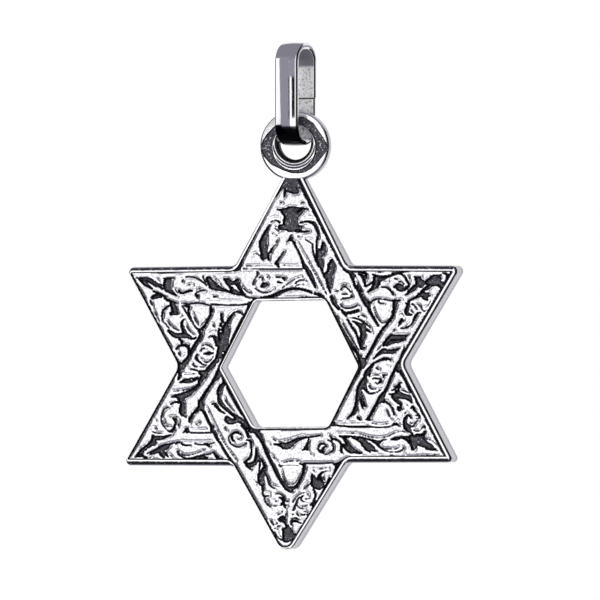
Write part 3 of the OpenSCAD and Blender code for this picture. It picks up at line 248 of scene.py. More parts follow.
LEFT_BAND = [
    [-35.4, 4.3, -34.7, 4.7, -33.9, 5.3, 0.2, 0.3, 0.3], [-34.2, 3.2, -33.4, 2.2, -32.2, 2.9, 0.5, 0.3, 0.2],
    [-34.9, 4.3, -33.6, 5.4, -31.5, 5.2, 0.7, 0.8, 1.1], [-31.4, 5.2, -31, 3.4, -31.6, 1.6, 1.2, 0.9, 0.9],
    [-31.6, 1.8, -32.9, 0.2, -34, -0.6, 0.9, 1.3, 1.2], [-33.9, 0.3, -33.7, -2.2, -34.4, -4.4, 1, 1.6, 0.7],
    [-28.2, 6.8, -29.5, 5, -30.6, 3, 1.3, 1.3, 1.1], [-30.6, 3, -31.6, 1.2, -33.4, -1.2, 1.1, 1.2, 1.5],
    [-25.9, 4.4, -26.9, 4.5, -27.6, 3.7, 0.3, 0.5, 0.5], [-28.5, 2.9, -28.8, 1.6, -27.6, 0.5, 0.5, 0.9, 0.6],
    [-27.6, 0.5, -26.7, -0.1, -25.7, -0.3, 0.6, 0.5, 0.5], [-26.5, 2.9, -25, 3.1, -23.8, 3.2, 0.5, 1.2, 0.6],
    [-27.7, 4.7, -26, 5.6, -24.3, 5, 0.25, 0.4, 0.6], [-24.3, 5, -23.8, 4.5, -23.4, 3.9, 0.5, 0.4, 0.2],
    [-27.3, 1.7, -25.5, 0.5, -23.6, 2.2, 0.3, 0.45, 0.25], [-20.2, 8.4, -20.5, 6, -21.2, 3.6, 3.2, 3.6, 2.8],
    [-21.2, 3.6, -21.9, 2.2, -22.6, 1, 2.8, 2, 1.6], [-22.6, 1.2, -23.9, -0.2, -25.2, -1.6, 1.5, 1.7, 1.6],
    [-27.6, -2.4, -26.8, -2.6, -25.8, -2, 1.4, 1.8, 1.2], [-26.2, -2.6, -26.9, -3.9, -27.9, -5, 2, 1.8, 1.2],
    [-27.4, -5.2, -28.9, -6.7, -30.6, -8.2, 0.9, 1.1, 1.5],
    [-30.4, -7.9, -32.5, -8.9, -35, -9.2, 1.7, 2, 1.3], [-35, -9.2, -35.8, -9.3, -36.4, -9.5, 1.2, 0.8, 0.4],
    [-33.9, -5.3, -32.4, -4.9, -30.6, -4.7, 0.4, 1.4, 1.5],
    [-30.6, -4.7, -29.4, -4.4, -28.4, -4, 1.5, 1.2, 1], [-31.3, -1.4, -29.8, -1.5, -28, -2.1, 0.3, 0.6, 0.5],
    [-30, 0.3, -29.4, -0.6, -28.2, -0.7, 0.25, 0.6, 0.35],
    [-28.2, -0.7, -27, -0.8, -25.8, -0.8, 0.35, 0.3, 0.2],
    [-32.5, -3, -30.5, -2.9, -28.8, -2.7, 0.3, 0.35, 0.2],
    [-35.7, -7.8, -31.5, -7.2, -28.3, -5.6, 0.3, 0.35, 0.25],
    [-21.7, -1, -21.9, -2.6, -22.9, -4.2, 1, 2.1, 1.6], [-22.9, -4.2, -24.2, -5.7, -25.6, -7.7, 1.5, 0.9, 1],
    [-25.6, -7.7, -26.8, -9.4, -27.9, -11.6, 1, 1.1, 1.2],
    [-20.9, -3.4, -20.4, -4.8, -20.6, -6, 0.8, 0.9, 1.2],
    [-20.6, -6, -21.7, -7.2, -21.8, -9.2, 1.5, 1.5, 1.3],
    [-21.8, -9.2, -21.6, -10.8, -20.4, -12.2, 1.3, 1.4, 1.3],
    [-20.4, -12.2, -19.6, -12.9, -18.8, -13.5, 1.3, 1.3, 1.2],
    [-18.8, -13.5, -17.6, -14.5, -16.4, -15.2, 1.1, 1.1, 1.2],
    [-20.1, -9.6, -19.1, -11.6, -16.4, -14.2, 0.3, 0.4, 0.25],
    [-19.4, -6.5, -17.2, -10.6, -14.6, -14.6, 0.8, 0.7, 0.8],
    [-24, -11.6, -23, -11.4, -22.4, -12, 0.5, 0.9, 0.9],
    [-22.9, -11.8, -21.6, -13.2, -20.1, -14.1, 1.2, 1, 0.5]]
LOWER_LEFT_POINT = [
    [-33.6, -9.6, -33.3, -10.8, -33.1, -11.9, 2.6, 1.4, 1.6],
    [-33.1, -11.9, -33.3, -13.4, -33, -14.4, 1.6, 2, 1.4],
    [-33.2, -14.4, -32.4, -15, -31.8, -15.4, 0.9, 0.5, 0.4],
    [-36.7, -11.6, -35.4, -11, -34.2, -11, 0.5, 0.7, 1],
    [-37.4, -12.4, -38.8, -13.2, -39.4, -14.8, 0.4, 0.6, 0.4],
    [-39.5, -14.9, -39.3, -17, -38, -18.8, 0.5, 0.5, 0.3],
    [-38, -18.9, -37, -19.4, -36.2, -19.2, 0.3, 0.6, 0.9],
    [-36.3, -19.3, -35.6, -18.4, -35.4, -17.4, 1.2, 1, 0.6],
    [-36, -15.6, -35.2, -16.2, -35.2, -17.4, 0.6, 1.3, 0.6],
    [-37, -15.4, -36.2, -15.2, -34.7, -15.2, 0.25, 0.4, 0.5],
    [-38.9, -16, -38, -17.8, -36, -17.9, 0.25, 0.4, 0.3],
    [-34.2, -16, -34.3, -17, -34.5, -18, 0.25, 0.4, 0.35],
    [-42.6, -19.3, -40.8, -19.9, -38.2, -19.8, 0.3, 0.45, 0.2],
    [-41.7, -18.2, -41.5, -18.6, -41.3, -18.8, 0.3, 0.4, 0.2],
    [-41.2, -16.3, -41, -16.4, -40.7, -16.5, 0.3, 0.4, 0.2],
    [-42.1, -20.7, -42, -21.6, -42.2, -22.8, 1, 1.6, 1.8],
    [-41.9, -21.2, -40, -21.3, -38.2, -20.9, 1.4, 1.4, 0.9],
    [-38.2, -20.9, -37.2, -20.6, -36.4, -20.3, 0.9, 0.6, 0.3],
    [-42, -22.4, -44, -23.8, -45.6, -25, 1.9, 1.3, 1.3],
    [-45.6, -25, -46.8, -26.2, -47.9, -27.1, 1.6, 1, 0.3],
    [-45.6, -25.6, -45.2, -26.6, -44, -27, 1.2, 0.8, 0.6], [-43.7, -26, -42, -25.4, -40, -24.6, 1, 1.4, 1.8],
    [-40, -24.4, -38.5, -23.9, -37, -23.2, 1.8, 2, 1],
    [-37, -23.2, -36.2, -22.8, -35.5, -22.7, 0.9, 0.6, 0.4],
    [-39.6, -25, -39.2, -26, -38.8, -26.8, 2.2, 1.8, 0.8],
    [-38.4, -25.6, -37.8, -26.4, -37.2, -26.9, 1, 0.7, 0.2],
    [-44, -27, -43, -26.9, -42.4, -26.5, 0.4, 0.4, 0.2],
    [-42, -27.4, -41.5, -27.5, -40.9, -27.6, 0.35, 0.2, 0.4],
    [-36.9, -26.1, -36.3, -26.7, -35.6, -27.2, 0.3, 0.35, 0.2],
    [-34.6, -25, -34.1, -26, -33.3, -26.5, 0.5, 0.9, 0.6],
    [-33.3, -26.6, -32, -27.1, -30, -27.2, 0.6, 0.6, 0.6],
    [-31, -27.2, -28.6, -26.9, -26.4, -26.2, 0.7, 1.3, 0.9],
    [-28.5, -26.9, -27, -26.8, -25.8, -26.9, 1.3, 1.2, 0.7],
    [-35, -22.9, -34.2, -22.5, -33, -22.9, 0.8, 0.6, 0.5],
    [-33.2, -23, -32, -23.4, -30.6, -23.3, 0.8, 0.6, 0.35],
    [-33.3, -25.7, -32, -26.3, -29, -25.8, 0.3, 0.4, 0.3],
    [-29, -25.8, -27.6, -25.2, -26.4, -24.3, 0.3, 0.35, 0.25],
    [-31, -27, -28.5, -27.2, -25.6, -27, 0.5, 0.8, 0.8],
    [-47, -26.7, -45.6, -26.6, -44, -26.7, 0.5, 0.6, 0.3]]
LOWER_LEFT_ARM = [
    [-29.4, -22.8, -27.8, -23.1, -26.2, -23.1, 0.4, 0.5, 0.5],
    [-26.2, -23, -25.4, -23.1, -24.9, -23.5, 0.7, 1.1, 1], [-25, -23, -24, -22.8, -23, -22.5, 0.5, 0.4, 0.3],
    [-25.8, -26, -24.6, -25.8, -23.6, -25.3, 0.5, 0.5, 0.5],
    [-23.6, -25.3, -22.9, -26.2, -22.2, -27, 0.5, 0.8, 1.3],
    [-22.2, -27, -21.4, -27.2, -20.6, -27.1, 0.9, 0.8, 0.3],
    [-21.6, -22.4, -20.4, -24.5, -19, -26.6, 0.8, 0.8, 0.9],
    [-19, -26.6, -17.9, -27.8, -16.8, -29, 0.9, 0.6, 0.5],
    [-27.8, -10.8, -27.4, -12.2, -26.9, -13.2, 1.3, 2.2, 1.1],
    [-27.6, -12.4, -28.8, -13.4, -30, -14.4, 1.6, 1.2, 0.8],
    [-30, -14.4, -30.5, -15.4, -31, -16, 0.9, 0.9, 0.6],
    [-30.8, -15.6, -30.9, -16.3, -30.7, -16.9, 1, 0.9, 0.4],
    [-26.9, -13, -25.8, -15, -24.9, -16.9, 1, 1, 0.9], [-24.9, -16.9, -24, -18, -23.9, -19, 0.9, 1.3, 1.5],
    [-23.9, -18.8, -23, -20, -22.3, -21.6, 1.3, 1.2, 1.2],
    [-22.5, -21.2, -22, -22, -21.6, -22.5, 1.2, 0.9, 0.8],
    [-31.2, -19.6, -28, -19.8, -23.6, -19.6, 0.4, 0.5, 0.5],
    [-32.8, -19.7, -31.7, -19.2, -30.9, -19.6, 0.5, 1, 0.5],
    [-31.7, -18.5, -31.8, -19, -31.6, -19.5, 0.5, 1.4, 1],
    [-30.2, -18.7, -27.6, -18.8, -25.2, -18.6, 0.3, 0.3, 0.25],
    [-28.9, -17.4, -28.3, -17, -27.9, -16.7, 0.4, 0.2, 0.4],
    [-33.2, -22.2, -29, -22.4, -24, -22.2, 0.2, 0.25, 0.2],
    [-25.6, -12.4, -21.6, -20.4, -16.6, -27.6, 0.25, 0.3, 0.3],
    [-20.2, -18, -19.8, -19, -19.3, -19.2, 0.3, 0.35, 0.25],
    [-17.8, -20.1, -16.4, -19.6, -14.9, -20.4, 0.7, 1, 0.4],
    [-18, -20.3, -17.9, -21.2, -17.4, -22, 0.5, 0.9, 0.8],
    [-16.8, -21.1, -15.8, -21.6, -14.8, -20.8, 0.2, 0.4, 0.3],
    [-18.8, -21.3, -18.2, -22.8, -16.6, -23.7, 0.4, 0.5, 0.5],
    [-16.6, -23.7, -14.9, -23.6, -13.5, -22.6, 0.5, 0.45, 0.5],
    [-18, -20.1, -18.7, -20.7, -18.8, -21.4, 0.4, 0.4, 0.4],
    [-14.7, -17.6, -13.4, -19.2, -12.8, -20.9, 1.1, 1, 1],
    [-13.4, -21.8, -12.2, -22.2, -11.9, -24, 0.6, 0.9, 0.7],
    [-11.9, -24, -12, -26, -12.8, -27.2, 0.7, 0.7, 0.6], [-12.6, -27, -13.4, -27.8, -14, -28, 0.7, 0.9, 0.5],
    [-19.4, -15.6, -17.6, -16.3, -15.6, -16, 1.6, 1.3, 1.5],
    [-16.6, -15.6, -15.2, -16.2, -13.8, -17.4, 1.6, 1.9, 1.6],
    [-13.8, -17.4, -12.9, -18.6, -12, -19.4, 1.3, 1, 1.1],
    [-12.4, -18.6, -10.8, -19.4, -9.4, -19.2, 1, 1.3, 0.7],
    [-10.6, -19.4, -9.7, -20.4, -9.1, -21.4, 1.3, 1.7, 1.2],
    [-19.6, -16, -18.6, -16.4, -17, -16.4, 1.4, 2, 1.6], [-33.6, -5, -32, -5, -30, -4.6, 0.5, 0.8, 0.6]]
LOWER_BAND = [
    [-9.2, -21.2, -8.3, -23, -7.4, -25, 1.3, 1, 1.2], [-7.4, -25, -6.2, -27.4, -4.9, -29.8, 1.2, 1.1, 1.2],
    [-4.9, -29.8, -3.6, -32.2, -2.2, -34.4, 1.2, 1.2, 1.2],
    [-2.2, -34.2, -1, -35.6, 0.3, -36.4, 1.3, 1.6, 1.2], [-1.8, -35, 0, -35.7, 1.8, -35, 0.9, 1.5, 1],
    [1.8, -35.2, 3, -33.2, 3.8, -31.4, 1, 0.9, 0.8], [3.8, -31.4, 4.2, -30, 4.4, -28.8, 0.9, 1.3, 1.3],
    [2.9, -28.5, 3.8, -28.7, 5, -28.4, 0.5, 0.8, 0.5],
    [-14.1, -28.3, -13, -29.1, -12.2, -30.2, 0.5, 1.4, 0.6],
    [-13.2, -28.6, -12, -28.9, -10.9, -28.2, 0.8, 1.6, 1.2],
    [-10.9, -28.4, -10.4, -27.2, -10.4, -25.6, 1.4, 1.4, 1],
    [-10.4, -25.6, -10.5, -24.8, -10.5, -24.2, 0.9, 0.7, 0.4],
    [-10.2, -26.6, -9.6, -27.6, -9.2, -28, 1.6, 1.2, 0.6],
    [-9.2, -28.2, -9.4, -29.6, -9.5, -31.2, 0.6, 0.6, 0.5], [-9, -27.2, -8, -28.8, -7.9, -30.6, 0.6, 1, 0.9],
    [-8.2, -30, -8.7, -32, -8.8, -34, 1.2, 2, 2.2], [-7.8, -31.2, -7, -32.6, -6.6, -33.8, 0.5, 0.7, 0.6],
    [-6.6, -33.8, -6, -35, -4.6, -35.7, 0.6, 0.6, 0.4], [-9.4, -31.8, -9.3, -33, -8.9, -34.2, 1.4, 1.8, 1.2],
    [-8.7, -34.2, -8.4, -35.6, -8.4, -37.2, 0.9, 0.55, 0.6],
    [-10.6, -33.8, -9.8, -34.1, -9.2, -34.4, 0.3, 0.6, 0.8],
    [-10.4, -34.5, -10.2, -34.8, -10, -35.2, 0.3, 0.35, 0.3],
    [-7, -32.6, -6, -34.3, -3.2, -35.2, 0.2, 0.3, 0.25], [-5, -23, -3.4, -23.1, -2, -23.3, 0.5, 1.1, 2],
    [-2, -23.5, -0.4, -23.2, 1, -22.3, 2, 2.2, 1.5], [1, -22.2, 3.4, -21.3, 6, -20.9, 1.5, 0.9, 0.6],
    [4, -21.1, 6.4, -20.8, 9.2, -20.4, 0.9, 0.6, 0.5], [-5.4, -21.4, -5, -21.7, -4.5, -22, 0.25, 0.4, 0.3],
    [-4.4, -22, -1.6, -22, 4, -20.3, 0.2, 0.3, 0.25],
    [-6.6, -22.6, -6.2, -23, -5.6, -23.3, 0.25, 0.35, 0.25],
    [3.6, -24.7, 4.6, -23.9, 5.3, -22.4, 0.4, 1, 0.5], [4.2, -24.5, 5, -24.3, 5.4, -24.7, 0.6, 1, 0.4],
    [5.2, -24, 5.4, -22.6, 5.6, -21.4, 0.7, 0.6, 0.6], [-2.4, -28.4, 0, -27.8, 2.4, -27.8, 0.3, 0.4, 0.3],
    [-3.4, -28.8, -3, -29.3, -2.6, -29.2, 0.4, 0.6, 0.3], [-2.6, -29.1, 0, -29, 2.6, -29.1, 0.3, 0.35, 0.25],
    [-5.8, -26, -4.9, -27.2, -4.2, -27.9, 0.2, 0.3, 0.2],
    [-2.7, -30.6, -1.6, -33.6, 0.2, -34.6, 0.25, 0.4, 0.4],
    [0.2, -34.6, 1.8, -33.6, 3.4, -30.6, 0.4, 0.35, 0.25]]
BOTTOM_POINT = [
    [-8.6, -35.2, -8.4, -37, -8, -38, 0.6, 0.6, 0.6], [-8, -38, -7.2, -37.9, -6.4, -37.7, 0.6, 0.55, 0.3],
    [-7.9, -38, -7.4, -39.8, -6, -41, 0.4, 0.6, 0.5], [-7.6, -37, -7, -36.9, -6.3, -37.1, 0.2, 0.25, 0.2],
    [-7.2, -38.6, -6, -40.4, -3.4, -40.6, 0.25, 0.35, 0.25],
    [-4.6, -37.3, -3, -37.3, -1.9, -38.4, 0.3, 0.5, 0.5],
    [-1.9, -38.4, -1.4, -39.2, -0.7, -39.3, 0.5, 0.4, 0.5],
    [-3.6, -38.4, -2.4, -38.6, -2, -39.8, 0.4, 1.1, 1], [-2, -39.8, -2.6, -40.2, -3, -40.6, 0.9, 0.9, 0.3],
    [-2, -39.8, -1.8, -40.6, -1.6, -41.2, 1, 0.7, 0.5], [-1.8, -40.4, -1.3, -40.5, -1, -40.6, 0.5, 0.4, 0.3],
    [-4.8, -39.2, -4.3, -39.4, -3.7, -39, 0.3, 0.35, 0.2],
    [-3.9, -43.3, -2.7, -42.6, -2.3, -41.4, 0.3, 0.4, 0.2],
    [-3.7, -44.5, -2.6, -44, -1.8, -43.9, 0.5, 1.1, 0.8],
    [-2.8, -44.6, -1.9, -44.9, -1.4, -45.4, 1, 1.5, 0.8],
    [-3.6, -44.6, -3.2, -45, -2.4, -45.2, 0.5, 0.7, 0.4],
    [-1.5, -42.2, -1.4, -43, -1.3, -43.6, 0.3, 0.4, 0.3], [-0.6, -46.6, -1, -48, -0.9, -49.6, 1, 3, 3.2],
    [-2.2, -47.4, -1.6, -48.6, -1.6, -50.2, 1, 2, 2], [-0.6, -49, 0.8, -49.4, 2.2, -48.9, 2.4, 2, 0.8],
    [-2, -50.6, -1, -50.5, 0.4, -50, 0.9, 1.5, 1], [-0.2, -47.6, 0.3, -48.6, 0.8, -49.3, 1, 1.6, 1.6],
    [-1.8, -45.4, -1.2, -46.2, -0.6, -46.8, 0.6, 0.9, 1.2],
    [-4.9, -48.2, -3.9, -49.6, -2.7, -50.5, 0.5, 0.5, 0.5],
    [-6, -45, -5.4, -45.8, -4.9, -46.5, 0.5, 0.6, 0.3], [-4.4, -45.2, -4.1, -45.7, -4.6, -46, 0.3, 0.4, 0.3],
    [-4, -46.6, -3.6, -46.5, -3.2, -46.6, 0.3, 0.45, 0.3],
    [-5, -47.3, -4.2, -47, -3.9, -46.6, 0.3, 0.35, 0.2],
    [-4.2, -47.2, -3.8, -47.4, -3.3, -47, 0.3, 0.4, 0.3], [-3.7, -48, -3.2, -49, -2.7, -49.7, 0.2, 0.3, 0.2],
    [0.4, -44.6, 1.2, -44.1, 2, -44.3, 0.5, 0.6, 0.6], [2, -44.3, 2.8, -44.6, 3.4, -44.7, 0.5, 0.4, 0.3],
    [0.6, -45.2, 1.4, -45, 2.4, -45.2, 0.8, 1, 0.7], [2.2, -45.2, 2.9, -45.5, 3.5, -45.7, 0.6, 0.5, 0.3],
    [0.3, -45, 0.3, -45.6, 0.3, -46.2, 0.6, 0.6, 0.5], [0.6, -43.3, 0.9, -43.1, 1.2, -43, 0.4, 0.4, 0.2],
    [1.8, -42.4, 2.2, -43.2, 3.1, -43.8, 0.3, 0.5, 0.3], [3.2, -43.2, 3.8, -43.2, 4.5, -43.1, 0.4, 0.6, 0.5],
    [4.9, -43.1, 5.2, -43.2, 5.6, -43.3, 0.4, 0.5, 0.3], [3.7, -42, 4.6, -42.3, 5.6, -42.6, 0.2, 0.35, 0.25],
    [0.9, -41.9, 1.5, -40.6, 1.9, -39.6, 0.6, 0.7, 0.5], [1.9, -39.6, 2.4, -38.6, 3.6, -38, 0.5, 0.6, 0.5],
    [3.4, -38.2, 3.6, -37.9, 4.1, -37.6, 0.6, 0.5, 0.3], [3.2, -38.6, 3.6, -39.2, 4.4, -39.4, 0.4, 0.5, 0.2],
    [2, -40.5, 2.9, -41.2, 4.4, -41.5, 0.4, 0.45, 0.3], [0.8, -39.6, 2.2, -37.8, 4.2, -36.9, 0.5, 0.35, 0.3],
    [4.2, -36.9, 5, -36.8, 5.8, -37.2, 0.3, 0.3, 0.2], [5, -37.3, 5.4, -37.6, 5.8, -37.9, 0.2, 0.4, 0.3],
    [3, -40.4, 4.4, -40.8, 5.6, -40, 0.25, 0.4, 0.2], [4.2, -38.6, 5, -38.7, 6, -38.4, 0.2, 0.3, 0.3],
    [6.4, -34, 7, -34.8, 7.2, -36, 0.9, 0.8, 0.7], [7.2, -36, 7.6, -37.6, 7.3, -39, 0.7, 0.7, 0.8],
    [7.3, -39, 6.9, -39.8, 6.2, -40.4, 0.8, 0.9, 0.7], [7.3, -39.4, 7.8, -39.6, 8.4, -39, 0.8, 0.8, 0.7],
    [7.2, -40.2, 7, -41.2, 6.5, -42.2, 1.4, 1, 0.7], [6.5, -42.2, 5.6, -44, 4.6, -45.6, 0.7, 0.6, 1],
    [4.4, -45.2, 3.9, -46.6, 3.2, -47.8, 1, 0.8, 0.5], [3.2, -48, 2.6, -48.6, 2, -49, 0.5, 0.5, 0.4],
    [12, -32.6, 10.4, -35.8, 8.6, -39, 0.8, 0.9, 0.9], [6.7, -31.8, 7.1, -33, 7.6, -34.2, 0.9, 1.8, 3],
    [7, -33, 8.4, -34.4, 9.6, -34.6, 1.6, 3.2, 1.8], [8.4, -35, 8.7, -35.4, 9.4, -35.2, 1.6, 1.6, 1],
    [8.6, -32.6, 9.2, -31.4, 10.2, -30.9, 1, 0.9, 0.5], [10.2, -30.9, 11, -30.6, 11.8, -30.6, 0.4, 0.4, 0.3],
    [9, -32.2, 9.4, -33, 9.8, -33.8, 1, 1, 0.9], [9.6, -34, 10.2, -34, 10.6, -34, 0.8, 0.6, 0.2],
    [9.9, -32.3, 10.3, -33, 10.9, -33.6, 0.4, 0.4, 0.2], [4, -35.9, 5, -35, 6.2, -34.2, 0.4, 0.5, 0.5],
    [4, -35.2, 4.8, -34.4, 5.8, -33.6, 0.15, 0.25, 0.3], [4.4, -28.4, 8, -28.4, 12, -28.3, 0.5, 0.5, 0.5],
    [12, -28.3, 13, -28.3, 13.6, -28.9, 0.4, 0.5, 0.5], [13.2, -28.6, 14.2, -28.6, 15.2, -28.1, 0.5, 1, 0.7],
    [14.2, -28.8, 13.9, -29.8, 13.7, -30.6, 1.2, 0.9, 0.8],
    [13.7, -30.6, 12.8, -32.6, 11.9, -34, 0.8, 0.8, 0.8], [6.7, -29.9, 7.2, -30.5, 7.7, -31, 0.2, 0.4, 0.25],
    [8, -30, 9.6, -30, 11.6, -29.6, 0.2, 0.35, 0.25], [15, -28, 16, -27.4, 17.4, -26.9, 0.4, 0.3, 0.3]]
LOWER_RIGHT_BAND = [
    [8.4, -24.4, 9, -23, 10, -22.8, 0.4, 0.7, 0.8], [10, -22.8, 10.8, -23, 10.9, -23.6, 0.8, 0.6, 0.4],
    [8.6, -24.4, 9.2, -25, 10, -25.1, 0.6, 1, 0.8], [9.6, -24.8, 10, -24.2, 10.6, -23.6, 0.6, 0.8, 0.6],
    [11.6, -21.8, 12.6, -22.3, 13.1, -23.4, 0.5, 0.6, 0.6],
    [13.1, -23.4, 13, -24.6, 12, -25.3, 0.6, 0.6, 0.5], [12, -25.3, 11, -25.8, 9.9, -25.4, 0.5, 0.35, 0.4],
    [11.9, -20.3, 12.4, -20.9, 12.8, -21.6, 0.25, 0.5, 0.8],
    [12.8, -21.3, 14, -21.6, 15, -22.2, 0.7, 0.8, 0.6], [15, -22.2, 15.6, -23.2, 15.7, -24.8, 0.6, 0.7, 0.9],
    [15.4, -23.6, 15.6, -24.6, 15.8, -25.2, 0.8, 1, 0.8],
    [5.8, -25.4, 6.2, -25.8, 6.8, -26, 0.2, 0.35, 0.25], [15, -20.6, 16.6, -20.9, 18, -20.7, 0.5, 0.9, 0.7],
    [16, -20.9, 16.9, -21.8, 17.3, -22.8, 0.7, 1.2, 1.2], [16, -23, 17.4, -24, 18.6, -25, 0.8, 2, 1.4],
    [17.6, -23, 19, -24.6, 21.4, -25.4, 1.2, 1.6, 0.8], [17.4, -22.4, 17.8, -23.4, 18.6, -24.2, 1, 1.4, 1.2],
    [15, -20.5, 18, -20.6, 21, -20.8, 0.5, 0.5, 0.6], [19, -21, 20.6, -21.6, 21.8, -22.6, 0.7, 0.9, 1],
    [21, -21.2, 22.6, -22.4, 24, -24, 1.4, 1.8, 2.2], [22, -22.4, 23.4, -24, 24.3, -25, 1.6, 1.8, 0.7],
    [24, -23.4, 25, -24.2, 26.2, -24.8, 2, 1.6, 0.6], [21, -20.8, 23.6, -21.4, 26, -22, 0.7, 0.7, 1],
    [25, -21.9, 26.6, -22.4, 28, -21.8, 0.8, 1.3, 0.6], [28, -21.7, 29, -21.5, 29.8, -21.5, 0.5, 0.4, 0.3],
    [26.4, -22.6, 27.2, -23.6, 28.4, -24.4, 0.9, 0.7, 0.5], [28.4, -24.4, 30, -25, 31.6, -25, 0.4, 0.4, 0.4],
    [31.6, -25, 33.4, -24.9, 34.6, -23.8, 0.4, 0.5, 0.6],
    [27.6, -23.4, 28.6, -24.1, 30.2, -24.2, 0.25, 0.35, 0.3],
    [30.2, -24.2, 32.2, -24.2, 33, -23.6, 0.3, 0.35, 0.25]]
LOWER_RIGHT_POINT = [
    [30.6, -21.5, 32, -21.3, 33.6, -21, 0.4, 1.3, 0.8], [33.4, -21, 34.6, -20.7, 36.9, -20.9, 0.8, 0.7, 0.5],
    [34.2, -21, 35.6, -21.6, 36.4, -22.6, 0.8, 1, 0.8], [36.8, -21, 37.6, -22.6, 37.4, -24, 2, 2.6, 1.6],
    [37, -21.2, 39, -21.6, 41, -22.4, 1.8, 2.8, 1.8], [38.4, -20.4, 39.8, -20.8, 40.8, -19.9, 1.2, 1.4, 0.7],
    [40.6, -22.8, 42.2, -23.4, 44.4, -24.4, 1.8, 2, 0.6],
    [38.6, -22.4, 39.6, -22.9, 41, -23.2, 1.6, 1.2, 1.4],
    [41.4, -24.1, 43, -24.4, 44.8, -24.6, 0.6, 0.5, 0.4], [37.4, -20, 37.3, -20.6, 36.8, -21.2, 0.6, 1, 1.2],
    [40.6, -20.9, 41.6, -21.3, 42.8, -21.6, 0.5, 0.4, 0.3],
    [42.8, -21.6, 44.2, -22.6, 45.2, -23.8, 0.3, 0.3, 0.25],
    [37.6, -18.8, 39, -19.1, 40, -18.4, 0.4, 0.35, 0.35], [40, -18.4, 40.8, -17.7, 41, -18.2, 0.4, 0.7, 0.4],
    [41, -18.4, 41.6, -18.9, 42, -19.2, 0.3, 0.3, 0.2], [40.6, -19.6, 41, -19.1, 41.6, -19.5, 0.5, 0.6, 0.3],
    [35, -17.6, 35, -16.2, 35.4, -15, 1.4, 1.6, 1], [35.4, -15, 36, -14.6, 36.8, -15.4, 0.9, 0.7, 0.5],
    [35.2, -17.2, 35.8, -18.4, 36.6, -19.2, 1.4, 1.9, 1],
    [36.2, -18.9, 36.8, -19.4, 37.2, -19.9, 0.9, 0.7, 0.6],
    [35.2, -17.6, 34.8, -18.3, 34.9, -18.5, 0.8, 0.6, 0.4],
    [36.2, -17.2, 37, -17.8, 37.8, -17.2, 0.6, 0.5, 0.5],
    [37.8, -17.2, 38.4, -16.4, 39, -16.1, 0.5, 0.4, 0.4],
    [36.4, -16.4, 36.9, -16.9, 37.6, -16.6, 0.2, 0.35, 0.2],
    [38.4, -14.6, 39, -14.6, 39.4, -15.2, 0.5, 0.7, 0.6],
    [38.4, -15.4, 38.9, -15.6, 39.4, -15.2, 0.3, 0.4, 0.4],
    [36.8, -12.6, 37.3, -12.2, 38, -13.2, 0.5, 1, 0.8],
    [37.6, -12.9, 38.6, -13.8, 39.4, -14.8, 0.8, 0.6, 0.5],
    [37.9, -11.9, 38.4, -12.4, 39, -13, 0.2, 0.3, 0.2], [35.2, -11.4, 35.6, -11.7, 36.2, -12, 0.2, 0.3, 0.2],
    [34.8, -14.6, 35.1, -13.8, 35.8, -13.1, 0.3, 0.35, 0.2], [29.9, -8.5, 31, -8.6, 32, -8.9, 0.4, 0.7, 1.4],
    [31.4, -8.8, 33, -8.8, 34.6, -9.2, 1.4, 2.2, 1.7], [34.6, -9.2, 36, -9.6, 37, -10.9, 1.7, 1.7, 0.7],
    [31.4, -9.2, 32.2, -10, 33, -11, 1.4, 1.6, 1], [32.8, -10.4, 33.6, -11.4, 33.8, -12.6, 1.2, 0.8, 0.8],
    [33, -12.4, 33.2, -12.8, 33.1, -13.2, 1.2, 1.4, 0.6],
    [33.8, -12.4, 34, -12.7, 34.5, -12.9, 0.8, 0.5, 0.2], [32.2, -7.6, 32.8, -8, 33.6, -8.4, 0.9, 1.2, 1.2],
    [31, -7.5, 32.2, -6.8, 33, -5.8, 0.4, 0.7, 0.7], [33, -5.9, 33.5, -5.2, 34.3, -5.6, 0.8, 0.6, 0.3],
    [33.2, -5.8, 33.1, -6.6, 33, -7.6, 0.9, 1, 0.8], [33.9, -7.3, 34.8, -7.6, 36, -8.1, 0.4, 0.45, 0.3],
    [36, -8.1, 36.6, -8.8, 37, -9.6, 0.25, 0.3, 0.2], [29.3, -9.8, 30.6, -10.8, 31.8, -12, 0.2, 0.35, 0.25],
    [28.6, -10.2, 30.4, -11.6, 31.2, -12.8, 0.4, 0.7, 0.7],
    [31.2, -12.8, 31.5, -13.8, 31.7, -14.5, 0.7, 0.6, 0.4],
    [31, -17.6, 31.9, -17.1, 32.8, -17.3, 0.5, 1.1, 0.8],
    [32.8, -17.3, 33.2, -17.6, 33.8, -17.9, 0.8, 0.5, 0.3],
    [33, -16.1, 33.5, -16.9, 34.2, -17.3, 0.2, 0.4, 0.2], [29.4, -13.1, 29.8, -14, 30.3, -15, 0.4, 0.5, 0.4],
    [30.3, -15, 30.8, -15.6, 30.8, -16.2, 0.3, 0.3, 0.2], [46.4, -23.9, 46.9, -25, 48.2, -25.4, 0.4, 1, 0.3],
    [46.5, -24.4, 47.2, -25, 47.8, -25.3, 0.8, 0.8, 0.4], [25.2, 0, 24.6, -1, 24.2, -2, 0.9, 0.8, 0.5],
    [38.6, -20, 40, -20, 41.2, -19.6, 0.8, 0.8, 0.6]]
